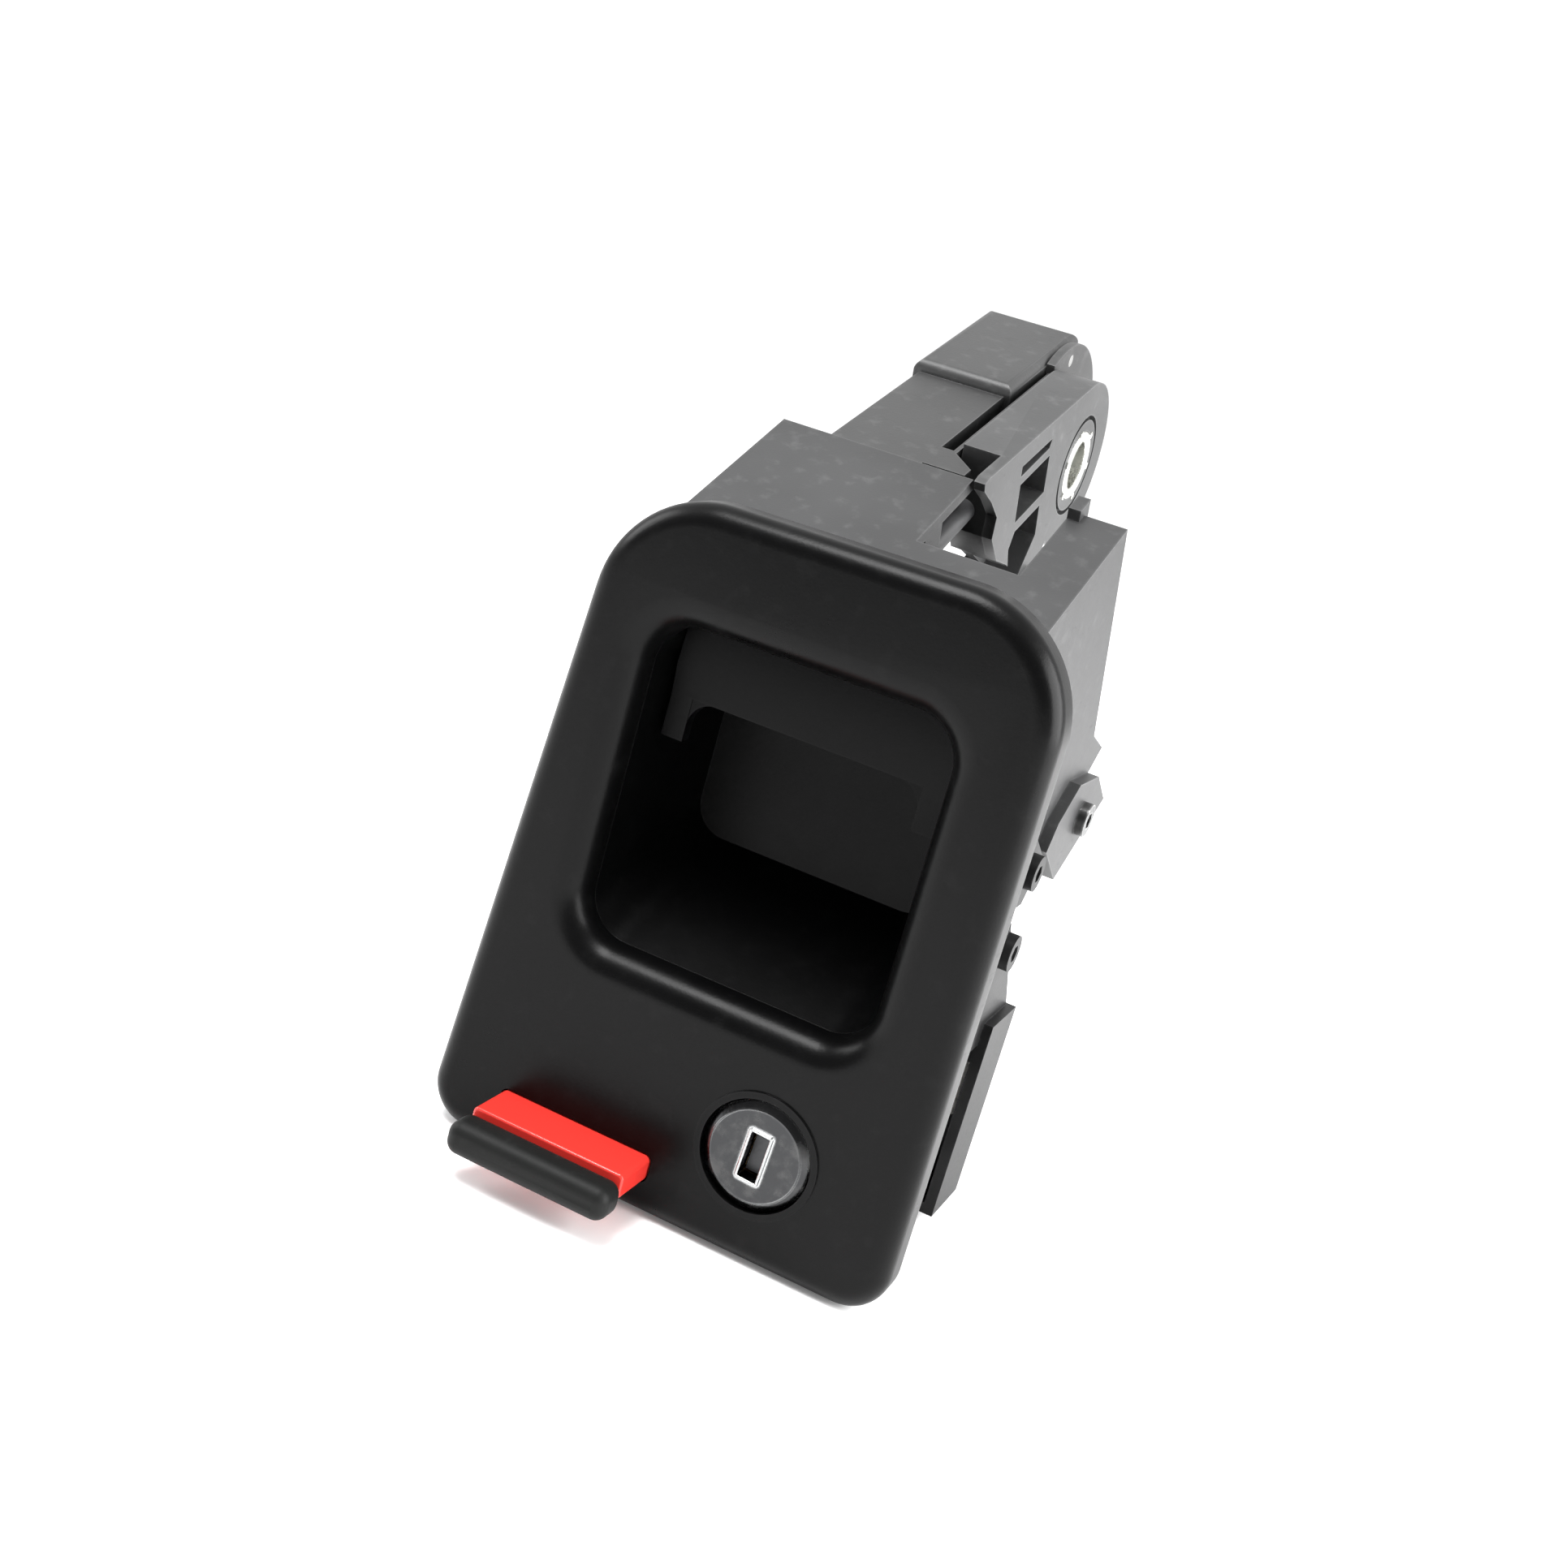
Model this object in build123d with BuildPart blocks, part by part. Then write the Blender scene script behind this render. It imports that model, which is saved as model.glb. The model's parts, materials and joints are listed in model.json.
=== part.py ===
"""Lockable recessed pull-handle module: bezel, finger recess, key lock, release tab and rear output lever.

Frame: millimetres, +Z up, the bezel faces -Y, and the origin is the middle of the bezel's rear flange plane.
The rear housing is tilted about X, so it has its own plane (t back along it, n square to it), and the rear
bracket that carries the output lever has a slightly flatter one (u back along it, v square to it).
"""
from build123d import *
from math import cos, sin, tan, radians
import os

# ---------------------------------------------------------------- driving dimensions
HOUSING_TILT = 25.0
BRACKET_TILT = 19.0
RUNNING_GAP = 0.05
SLIDE_GAP = 0.3
MOVE_GAP = 0.5

BEZEL_BOTTOM = -68.5
BEZEL_TOP = 68.5
BEZEL_HALF_LOW = 50.9
BEZEL_LEFT_TAPER = 10.2
BEZEL_RIGHT_TAPER = 0.6
BEZEL_DEPTH = 9.0
BEZEL_SKIN = 3.4
BEZEL_RIM = 5.0
BEZEL_EDGE_RADIUS = 4.6
CORNER_LOW = 9.0
CORNER_HIGH = 23.0

RECESS_LEFT = -28.6
RECESS_RIGHT = 33.0
RECESS_BOTTOM = -20.0
RECESS_TOP = 44.0
RECESS_CORNER = 9.0
RECESS_LIP = 6.2
POCKET_WALL = 2.2
POCKET_DEPTH = 29.0
POCKET_BACK_LEFT = -24.5
POCKET_BACK_RIGHT = 29.5
POCKET_BACK_BOTTOM = -3.4
POCKET_BACK_TOP = 46.0

HOUSING_LEFT = -37.0
HOUSING_RIGHT = 38.4
HOUSING_TOP = 51.1
HOUSING_BOTTOM = -24.0
HOUSING_REAR = 78.5
HOUSING_REAR_LOW = 91.7
HOUSING_WALL = 2.6
WINDOW_LEFT = 5.7
WINDOW_RIGHT = 26.8
WINDOW_FRONT = 51.1

PADDLE_LEFT = -26.4
PADDLE_RIGHT = 31.0
PADDLE_PIN_Y = 7.0
PADDLE_PIN_Z = 46.5
PADDLE_PIN_RADIUS = 1.5
PADDLE_EDGE_Z = 28.6
PADDLE_THICK = 3.0
PADDLE_CHEEK_Z = 20.0

KEY_X = 20.0
KEY_Z = -46.0
KEY_FACE_RADIUS = 11.0
KEY_RING_WIDTH = 1.7
KEY_FACE_PROUD = 0.6
BARREL_RADIUS = 10.2
PLUG_BACK = 36.0
PLUG_RADIUS = 7.0
KEYWAY_WIDTH = 3.8
KEYWAY_HEIGHT = 9.5
KEYWAY_TILT = 3.0
CAM_REACH = 8.0
CAM_THICK = 2.5
CAM_PIN_RADIUS = 1.5
YOKE_FRONT = 42.0
YOKE_BACK = 45.0
LOCK_EAR = 15.4
LOCK_FLANGE_Y = 6.0
LOCK_FLANGE_THICK = 2.4
LOCK_BOSS_RADIUS = 3.4

TAB_LEFT = -33.6
TAB_RIGHT = 0.0
TAB_THICK = 5.4
TAB_LIFT = 0.35
TAB_TRAVEL = 9.0
LIP_CLEAR = 2.0
TAB_TAIL = 8.0
TAB_GAP = 0.35
TAB_CORNER = 1.2
LIP_DEPTH = 8.0
LIP_OVERHANG = 0.9
LIP_DROP = 2.2
LIP_SET = 0.6
LIP_RADIUS = 2.8
GUIDE_WALL = 1.8
GUIDE_REAR = 34.0

ARM_LEFT = -1.6
ARM_RIGHT = 9.0
ARM_TOP = 60.4
ARM_FRONT = 70.5
ARM_WALL = 2.4
BUSH_U = 135.2
BUSH_V = 41.2
BUSH_RADIUS = 8.0
BUSH_BORE = 5.5
RING_GROOVE_RADIUS = 11.2
LEVER_PIN_U = 112.0
LEVER_PIN_V = 17.0
LEVER_EAR = 2.6
PUSH_X = 1.5
PUSH_N = 38.5
PUSH_RADIUS = 2.5
LEVER_PIN_RADIUS = 3.0
LEVER_BOSS_RADIUS = 7.0

COVER_LEFT = -26.2
COVER_RIGHT = -5.8
COVER_TOP = 58.9
COVER_STEP = 2.6
COVER_STEP_U = 118.0
COVER_REAR = 162.0
COVER_HEIGHT = 26.0
COVER_WALL = 2.2

CRADLE_LEFT = 32.6
CRADLE_RIGHT = 46.0
CRADLE_REAR = 54.5
CRADLE_TOP = -22.0
CRADLE_BOTTOM = -66.0
CRADLE_WALL = 2.4
ROD_X = 39.4
ROD_RADIUS = 3.8
ROD_TRAVEL = 8.0
ROD_TOP = -8.0
ROD_LOW = -45.0

SCREW_RADIUS = 2.0
SCREW_HEAD_RADIUS = 3.8
SCREW_HEAD = 2.2
SMALL_SCREW_RADIUS = 0.9
SMALL_HEAD_RADIUS = 2.2
SMALL_HEAD = 1.4
FLANGE_EARS = (-29.0, -4.0)
FLANGE_EAR_Z = -32.0
GASKET_WIDTH = 2.6
GASKET_THICK = 1.6

# ---------------------------------------------------------------- planes and derived places
TILT_SIN = sin(radians(HOUSING_TILT))
TILT_COS = cos(radians(HOUSING_TILT))
FACE_Y = -BEZEL_DEPTH
KEY_RING_RADIUS = KEY_FACE_RADIUS + KEY_RING_WIDTH
SKIN_BACK = FACE_Y + BEZEL_SKIN
TAB_TOP = BEZEL_BOTTOM + BEZEL_RIM + TAB_LIFT + GUIDE_WALL + TAB_GAP + TAB_THICK
COLLAR_BACK = FACE_Y + RECESS_LIP + 1.2
BRACKET_NORMAL = (0, -sin(radians(BRACKET_TILT)), cos(radians(BRACKET_TILT)))
HOUSING_FRONT = HOUSING_TOP * TILT_SIN / TILT_COS
HOUSING_FRONT_LOW = HOUSING_BOTTOM * TILT_SIN / TILT_COS


def front(y):
    """Upright plane at depth y that faces -Y: local x is X and local y is Z."""
    return Plane(origin=(0, y, 0), x_dir=(1, 0, 0), z_dir=(0, -1, 0))


def side(x, tilt=0.0):
    """Plane square to X, with local x running back and up by the tilt."""
    return Plane(origin=(x, 0, 0), x_dir=(0, cos(radians(tilt)), sin(radians(tilt))), z_dir=(1, 0, 0))


def deck(height, tilt):
    """Plane parallel to a tilted top, at a height: local x is X and local y runs back."""
    normal = (0, -sin(radians(tilt)), cos(radians(tilt)))
    origin = tuple(height * part for part in normal)
    return Plane(origin=origin, x_dir=(1, 0, 0), z_dir=normal)


def upright(along, square, tilt):
    """The (y, z) place of a point given along and square to a tilted plane."""
    slope = radians(tilt)
    return along * cos(slope) - square * sin(slope), along * sin(slope) + square * cos(slope)


def rectangle(left, right, low, high):
    """Corner points of a rectangle, for a polyline."""
    return [(left, low), (right, low), (right, high), (left, high)]


def draw(points, mode=Mode.ADD):
    """Fill a closed outline in the sketch that calls this."""
    Polygon(*points, align=None, mode=mode)


# ---------------------------------------------------------------- plan shapes
with BuildSketch() as bezel_plan:
    draw([
        (-BEZEL_HALF_LOW, BEZEL_BOTTOM),
        (BEZEL_HALF_LOW, BEZEL_BOTTOM),
        (BEZEL_HALF_LOW - BEZEL_RIGHT_TAPER, BEZEL_TOP),
        (BEZEL_LEFT_TAPER - BEZEL_HALF_LOW, BEZEL_TOP - 1.2),
    ])
    fillet(bezel_plan.vertices().group_by(Axis.Y)[0], CORNER_LOW)
    fillet(bezel_plan.vertices().sort_by(Axis.Y)[-2:], CORNER_HIGH)

with BuildSketch() as recess_plan:
    draw(rectangle(RECESS_LEFT, RECESS_RIGHT, RECESS_BOTTOM, RECESS_TOP))
    fillet(recess_plan.vertices(), RECESS_CORNER)

with BuildSketch() as pocket_back_plan:
    draw(rectangle(POCKET_BACK_LEFT, POCKET_BACK_RIGHT, POCKET_BACK_BOTTOM, POCKET_BACK_TOP))
    fillet(pocket_back_plan.vertices(), RECESS_CORNER - 2)

with BuildSketch() as keyway_plan:
    Rectangle(KEYWAY_WIDTH, KEYWAY_HEIGHT, rotation=-KEYWAY_TILT)

with BuildSketch() as tab_plan:
    draw(rectangle(TAB_LEFT, TAB_RIGHT, TAB_TOP - TAB_THICK, TAB_TOP))
    fillet(tab_plan.vertices(), TAB_CORNER)

# ---------------------------------------------------------------- bezel
TAB_LOW = TAB_TOP - TAB_THICK
TAB_MID = (TAB_TOP + TAB_LOW) / 2
KEY = (KEY_X, KEY_Z)
LOCK_EARS = [(KEY_X - LOCK_EAR, KEY_Z), (KEY_X + LOCK_EAR, KEY_Z)]
GUIDE_EAR = 4.2
GUIDE_SCREWS = [
    (TAB_LEFT - TAB_GAP - GUIDE_WALL - GUIDE_EAR, TAB_MID),
    (TAB_RIGHT + TAB_GAP + GUIDE_WALL + GUIDE_EAR, TAB_MID),
]
GUIDE_PILOT_DEPTH = 2.4
EAR_HALF = 4.2
EAR_THICK = 2.6
GROOVE_INSET = (BEZEL_RIM - GASKET_WIDTH) / 2
LOCK_SCREW_DEPTH = 9.0

with BuildPart() as bezel:
    with BuildSketch(front(0)):
        add(bezel_plan.sketch)
    extrude(amount=BEZEL_DEPTH)
    fillet(bezel.faces().sort_by(Axis.Y)[0].edges(), BEZEL_EDGE_RADIUS)
    # hollow behind the skin, with a collar left round the recess
    with BuildSketch(front(SKIN_BACK)):
        add(bezel_plan.sketch)
        offset(amount=-BEZEL_RIM)
    extrude(amount=SKIN_BACK, mode=Mode.SUBTRACT)
    with BuildSketch(front(COLLAR_BACK)):
        add(recess_plan.sketch)
        offset(amount=RECESS_LIP + 1.6)
    extrude(amount=COLLAR_BACK - SKIN_BACK)
    # bosses for the lock and for the housing screws
    with BuildSketch(front(LOCK_FLANGE_Y)):
        with Locations(KEY):
            Circle(BARREL_RADIUS + 3.2)
            Rectangle(2 * LOCK_EAR, 2.4)
        with Locations(*LOCK_EARS):
            Circle(LOCK_BOSS_RADIUS)
    extrude(amount=LOCK_FLANGE_Y - SKIN_BACK)
    with BuildSketch(front(0)):
        with Locations(*[(ear_x, FLANGE_EAR_Z) for ear_x in FLANGE_EARS]):
            Circle(SCREW_RADIUS + 1.8)
            Circle(SCREW_RADIUS, mode=Mode.SUBTRACT)
    extrude(amount=-SKIN_BACK)
    # recess mouth with its rolled lip
    with BuildSketch(front(1)):
        add(recess_plan.sketch)
    extrude(amount=BEZEL_DEPTH + 2, mode=Mode.SUBTRACT)
    fillet(bezel.faces().sort_by(Axis.Y)[0].inner_wires()[0].edges(), RECESS_LIP)
    # key hole, tab slot, screw pilots and gasket groove
    with BuildSketch(front(LOCK_FLANGE_Y)):
        with Locations(KEY):
            Circle(BARREL_RADIUS + RUNNING_GAP)
    extrude(amount=LOCK_FLANGE_Y - SKIN_BACK, mode=Mode.SUBTRACT)
    with BuildSketch(front(SKIN_BACK)):
        with Locations(KEY):
            Circle(KEY_FACE_RADIUS + SLIDE_GAP)
    extrude(amount=BEZEL_SKIN + 1, mode=Mode.SUBTRACT)
    with BuildSketch(front(0)):
        add(tab_plan.sketch)
        offset(amount=TAB_GAP)
    extrude(amount=BEZEL_DEPTH + 1, mode=Mode.SUBTRACT)
    with BuildSketch(front(LOCK_FLANGE_Y)):
        with Locations(*LOCK_EARS):
            Circle(SMALL_SCREW_RADIUS)
    extrude(amount=LOCK_SCREW_DEPTH, mode=Mode.SUBTRACT)
    with BuildSketch(front(SKIN_BACK)):
        with Locations(*GUIDE_SCREWS):
            Circle(SMALL_SCREW_RADIUS)
    extrude(amount=GUIDE_PILOT_DEPTH, mode=Mode.SUBTRACT)
    # raised ring round the key face
    with BuildSketch(front(FACE_Y)):
        with Locations(KEY):
            Circle(KEY_RING_RADIUS)
            Circle(KEY_FACE_RADIUS + SLIDE_GAP, mode=Mode.SUBTRACT)
    extrude(amount=0.5)
    # groove that seats the gasket
    with BuildSketch(front(0)):
        add(bezel_plan.sketch)
        offset(amount=-GROOVE_INSET)
        offset(bezel_plan.sketch, amount=-GROOVE_INSET - GASKET_WIDTH, mode=Mode.SUBTRACT)
    extrude(amount=GASKET_THICK, mode=Mode.SUBTRACT)

with BuildPart() as flange_gasket:
    with BuildSketch(front(0)):
        add(bezel_plan.sketch)
        offset(amount=-GROOVE_INSET)
        offset(bezel_plan.sketch, amount=-GROOVE_INSET - GASKET_WIDTH, mode=Mode.SUBTRACT)
    extrude(amount=GASKET_THICK)

# ---------------------------------------------------------------- finger recess
PADDLE_SLOT_FRONT = PADDLE_PIN_Y - 6.2
PADDLE_SLOT_BACK = PADDLE_PIN_Y + 14.0

with BuildPart() as recess_pocket:
    with BuildSketch(front(COLLAR_BACK)):
        add(recess_plan.sketch)
        offset(amount=POCKET_WALL)
    with BuildSketch(front(POCKET_DEPTH + POCKET_WALL)):
        add(pocket_back_plan.sketch)
        offset(amount=POCKET_WALL)
    loft()
    with BuildSketch(front(COLLAR_BACK)):
        add(recess_plan.sketch)
    with BuildSketch(front(POCKET_DEPTH)):
        add(pocket_back_plan.sketch)
    loft(mode=Mode.SUBTRACT)
    # roof slot that the paddle hangs through
    with BuildSketch(deck(RECESS_TOP + 8, 0)):
        draw(rectangle(PADDLE_LEFT - 0.6, PADDLE_RIGHT + 0.6, PADDLE_SLOT_FRONT, PADDLE_SLOT_BACK))
    extrude(amount=-14, mode=Mode.SUBTRACT)

# ---------------------------------------------------------------- rear housing
HOUSING_PROFILE = [
    (HOUSING_FRONT, HOUSING_TOP),
    (HOUSING_FRONT_LOW, HOUSING_BOTTOM),
    (HOUSING_REAR_LOW, HOUSING_BOTTOM),
    (HOUSING_REAR, HOUSING_TOP),
]
LUG_OUT = 2.6
LUG_SCREW = (80.3, -22.2)
WEDGE_PROFILE = [(88.4, -6.0), (98.3, -15.7), (90.4, -17.6), (86.0, -12.0)]
LUG_PROFILE = [(75.5, -9.8), (63.3, -11.9), (58.1, -16.0), (69.0, -31.8), (99.8, -30.4), (90.4, -17.6)]
REAR_SLOT_LEFT = -5.0
REAR_SLOT_RIGHT = WINDOW_RIGHT
REAR_SLOT_LOW = 14.0
POST_WIDTH = 2.6
REAR_SLOPE = (HOUSING_REAR_LOW - HOUSING_REAR) / (HOUSING_TOP - HOUSING_BOTTOM)
REAR_STRETCH = (1 + REAR_SLOPE**2) ** 0.5
REAR_FACE_NORMAL = (0, TILT_COS - REAR_SLOPE * TILT_SIN, TILT_SIN + REAR_SLOPE * TILT_COS)
YOKE_SCREWS = (-8.9, 16.3)
YOKE_SCREW_N = -4.0
COVER_SCREWS = (-19.8, -12.0)
COVER_SCREW_N = 36.0
LINK_SCREWS = [(34.0, -4.5), (44.5, 9.5)]
LINK_THICK = 3.2
GUIDE_FRONT = 56.0
GUIDE_BACK = 64.0
GUIDE_WIDTH = 8.4


def rear_wall(n):
    """Place along the housing of its rear face, at a height above its axis."""
    return HOUSING_REAR + REAR_SLOPE * (HOUSING_TOP - n)


def rear_face(x, n):
    """Plane on the housing's rear face that looks straight out of it."""
    return Plane(origin=(x, *upright(rear_wall(n), n, HOUSING_TILT)), x_dir=(1, 0, 0), z_dir=REAR_FACE_NORMAL)


def housing_cavity():
    """Inner profile of the housing, a wall inside its top, floor and rear."""
    top = HOUSING_TOP - HOUSING_WALL
    low = HOUSING_BOTTOM + HOUSING_WALL
    return [
        (top * TILT_SIN / TILT_COS - 1, top),
        (low * TILT_SIN / TILT_COS - 1, low),
        (rear_wall(low) - HOUSING_WALL, low),
        (rear_wall(top) - HOUSING_WALL, top),
    ]


with BuildPart() as rear_housing:
    with BuildSketch(side(HOUSING_LEFT, HOUSING_TILT)):
        draw(HOUSING_PROFILE)
    extrude(amount=HOUSING_RIGHT - HOUSING_LEFT)
    with BuildSketch(side(HOUSING_LEFT + HOUSING_WALL, HOUSING_TILT)):
        draw(housing_cavity())
    extrude(amount=HOUSING_RIGHT - HOUSING_LEFT - 2 * HOUSING_WALL, mode=Mode.SUBTRACT)
    # window in the top, open to the rear, and the slot for the lever below it
    with BuildSketch(deck(HOUSING_TOP, HOUSING_TILT)):
        draw(rectangle(WINDOW_LEFT, WINDOW_RIGHT, WINDOW_FRONT, HOUSING_REAR + 2))
    extrude(amount=-HOUSING_WALL - 1, mode=Mode.SUBTRACT)
    with BuildSketch(side(REAR_SLOT_LEFT, HOUSING_TILT)):
        draw([
            (HOUSING_REAR - 7, HOUSING_TOP - HOUSING_WALL),
            (HOUSING_REAR - 1, REAR_SLOT_LOW),
            (HOUSING_REAR_LOW + 4, REAR_SLOT_LOW),
            (HOUSING_REAR + 6, HOUSING_TOP - HOUSING_WALL),
        ])
    extrude(amount=REAR_SLOT_RIGHT - REAR_SLOT_LEFT, mode=Mode.SUBTRACT)
    # screw lug and wedge on the right wall
    with BuildSketch(side(HOUSING_RIGHT - HOUSING_WALL, HOUSING_TILT)):
        draw(WEDGE_PROFILE)
    extrude(amount=HOUSING_WALL)
    with BuildSketch(side(HOUSING_RIGHT - HOUSING_WALL, HOUSING_TILT)):
        draw(LUG_PROFILE)
    extrude(amount=HOUSING_WALL + LUG_OUT)
    with BuildSketch(side(HOUSING_RIGHT + LUG_OUT, HOUSING_TILT)):
        with Locations(LUG_SCREW):
            Circle(SCREW_RADIUS)
    extrude(amount=-LUG_OUT - HOUSING_WALL - 1, mode=Mode.SUBTRACT)
    # guide block for the push rod, and ears for the flange screws
    with BuildSketch(side(PUSH_X - GUIDE_WIDTH / 2, HOUSING_TILT)):
        draw(rectangle(GUIDE_FRONT, GUIDE_BACK, PUSH_N - PUSH_RADIUS - 2, HOUSING_TOP - HOUSING_WALL))
    extrude(amount=GUIDE_WIDTH)
    with BuildSketch(Plane(
        origin=(PUSH_X, *upright(GUIDE_FRONT - 1, PUSH_N, HOUSING_TILT)),
        x_dir=(1, 0, 0),
        z_dir=(0, TILT_COS, TILT_SIN),
    )):
        Circle(PUSH_RADIUS + RUNNING_GAP)
    extrude(amount=GUIDE_BACK - GUIDE_FRONT + 2, mode=Mode.SUBTRACT)
    with BuildSketch(front(0)):
        for ear_x in FLANGE_EARS:
            draw(rectangle(ear_x - EAR_HALF, ear_x + EAR_HALF, FLANGE_EAR_Z - EAR_HALF, HOUSING_BOTTOM))
    extrude(amount=-EAR_THICK)
    with BuildSketch(front(0)):
        for ear_x in FLANGE_EARS:
            with Locations((ear_x, FLANGE_EAR_Z)):
                Circle(SCREW_RADIUS + 0.2)
    extrude(amount=-EAR_THICK, mode=Mode.SUBTRACT)
    # notch for the locking rod in the floor's right edge
    with BuildSketch(Plane.XY.offset(ROD_TOP + ROD_TRAVEL + MOVE_GAP)):
        with Locations((ROD_X, (YOKE_FRONT + YOKE_BACK) / 2)):
            Circle(ROD_RADIUS + MOVE_GAP)
    extrude(amount=-3 * ROD_TRAVEL, mode=Mode.SUBTRACT)
    # screw holes in the rear wall and in the right wall
    for screw_x in YOKE_SCREWS:
        with BuildSketch(rear_face(screw_x, YOKE_SCREW_N)):
            Circle(SCREW_RADIUS)
        extrude(amount=-HOUSING_WALL - 1, mode=Mode.SUBTRACT)
    for screw_x in COVER_SCREWS:
        with BuildSketch(rear_face(screw_x, COVER_SCREW_N)):
            Circle(SCREW_RADIUS)
        extrude(amount=-HOUSING_WALL - 1, mode=Mode.SUBTRACT)
    with BuildSketch(side(HOUSING_RIGHT)):
        with Locations(*LINK_SCREWS):
            Circle(SCREW_RADIUS)
    extrude(amount=-HOUSING_WALL - 1, mode=Mode.SUBTRACT)
    # paddle pin holes
    with BuildSketch(side(HOUSING_LEFT)):
        with Locations((PADDLE_PIN_Y, PADDLE_PIN_Z)):
            Circle(PADDLE_PIN_RADIUS + RUNNING_GAP)
    extrude(amount=HOUSING_RIGHT - HOUSING_LEFT, mode=Mode.SUBTRACT)
    # post beside the window
    with BuildSketch(deck(HOUSING_TOP - HOUSING_WALL, HOUSING_TILT)):
        draw(rectangle(WINDOW_RIGHT, WINDOW_RIGHT + POST_WIDTH, HOUSING_REAR - 3, HOUSING_REAR + 2.5))
    extrude(amount=HOUSING_WALL + 2.4)

# ---------------------------------------------------------------- paddle
PADDLE_HUB_RADIUS = 3.6
PADDLE_HUB = (PADDLE_PIN_Y, PADDLE_PIN_Z)
PADDLE_FRONT_Y = PADDLE_PIN_Y - 2.0
CHEEK_WIDTH = 4.5
CHEEK_ROUND = 5.0
TAIL_WIDTH = 7.0
TAIL_REACH = 8.2
TAIL_HALF = 2.2
HUB_T = PADDLE_PIN_Y * TILT_COS + PADDLE_PIN_Z * TILT_SIN
HUB_N = PADDLE_PIN_Z * TILT_COS - PADDLE_PIN_Y * TILT_SIN

with BuildPart() as grip_paddle:
    with BuildSketch(side(PADDLE_LEFT)):
        with Locations(PADDLE_HUB):
            Circle(PADDLE_HUB_RADIUS)
        draw([
            (PADDLE_FRONT_Y, PADDLE_PIN_Z),
            (PADDLE_FRONT_Y - 1.2, PADDLE_EDGE_Z + 6),
            (PADDLE_FRONT_Y - 0.2, PADDLE_EDGE_Z),
            (PADDLE_FRONT_Y + PADDLE_THICK + 2.6, PADDLE_EDGE_Z + 1.2),
            (PADDLE_FRONT_Y + PADDLE_THICK, PADDLE_EDGE_Z + 6),
            (PADDLE_FRONT_Y + PADDLE_THICK, PADDLE_PIN_Z),
        ])
    extrude(amount=PADDLE_RIGHT - PADDLE_LEFT)
    # cheeks at both ends
    for cheek_x in (PADDLE_LEFT, PADDLE_RIGHT - CHEEK_WIDTH):
        with BuildSketch(side(cheek_x)):
            draw(rectangle(
                PADDLE_FRONT_Y - 0.2,
                PADDLE_FRONT_Y + PADDLE_THICK,
                PADDLE_CHEEK_Z,
                PADDLE_EDGE_Z + 3,
            ))
        extrude(amount=CHEEK_WIDTH)
    # rounded corners between the cheeks and the gripping edge
    with BuildSketch(front(PADDLE_FRONT_Y + PADDLE_THICK)):
        for corner_x, inwards in ((PADDLE_LEFT + CHEEK_WIDTH, 1), (PADDLE_RIGHT - CHEEK_WIDTH, -1)):
            far_x = corner_x + inwards * CHEEK_ROUND
            left, right = min(corner_x, far_x), max(corner_x, far_x)
            draw(rectangle(left, right, PADDLE_EDGE_Z - CHEEK_ROUND, PADDLE_EDGE_Z + 3))
            with Locations((far_x, PADDLE_EDGE_Z - CHEEK_ROUND)):
                Circle(CHEEK_ROUND, mode=Mode.SUBTRACT)
    extrude(amount=PADDLE_THICK)
    # tail that drives the push rod
    with BuildSketch(side(PUSH_X - TAIL_WIDTH / 2, HOUSING_TILT)):
        draw([
            (HUB_T - 3.0, HUB_N),
            (HUB_T - 1.8, HUB_N + TAIL_REACH),
            (HUB_T + TAIL_HALF, HUB_N + TAIL_REACH),
            (HUB_T + TAIL_HALF, HUB_N),
        ])
    extrude(amount=TAIL_WIDTH)
    with BuildSketch(side(PADDLE_LEFT)):
        with Locations(PADDLE_HUB):
            Circle(PADDLE_PIN_RADIUS + RUNNING_GAP)
    extrude(amount=PADDLE_RIGHT - PADDLE_LEFT, mode=Mode.SUBTRACT)

PIN_END = 2.0
CLIP_THICK = 0.8
CLIP_WIDTH = 1.8
SPRING_CLEAR = 0.35
SPRING_WIRE = 0.4
SPRING_PITCH = 0.95

with BuildPart() as paddle_pin:
    with BuildSketch(side(HOUSING_LEFT - PIN_END)):
        with Locations(PADDLE_HUB):
            Circle(PADDLE_PIN_RADIUS)
    extrude(amount=HOUSING_RIGHT - HOUSING_LEFT + 2 * PIN_END)

with BuildPart() as paddle_clips:
    for clip_x in (HOUSING_LEFT - CLIP_THICK, HOUSING_RIGHT):
        with BuildSketch(side(clip_x)):
            with Locations(PADDLE_HUB):
                Circle(PADDLE_PIN_RADIUS + CLIP_WIDTH)
                Circle(PADDLE_PIN_RADIUS, mode=Mode.SUBTRACT)
        extrude(amount=CLIP_THICK)

with BuildPart() as paddle_spring:
    with BuildLine() as paddle_coil:
        Helix(
            pitch=SPRING_PITCH,
            height=HOUSING_RIGHT - HOUSING_WALL - PADDLE_RIGHT - 2 * SLIDE_GAP - 2 * SPRING_WIRE,
            radius=PADDLE_PIN_RADIUS + SPRING_CLEAR + SPRING_WIRE,
            center=(PADDLE_RIGHT + SLIDE_GAP + SPRING_WIRE, *PADDLE_HUB),
            direction=(1, 0, 0),
        )
    with BuildSketch(Plane(origin=paddle_coil.line @ 0, z_dir=paddle_coil.line % 0)):
        Circle(SPRING_WIRE)
    sweep(is_frenet=True)


# ---------------------------------------------------------------- push rod
PUSH_HEAD_FRONT = HUB_T + TAIL_HALF + SLIDE_GAP
PUSH_TIP = 87.3
PUSH_NECK = 9.0

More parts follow.
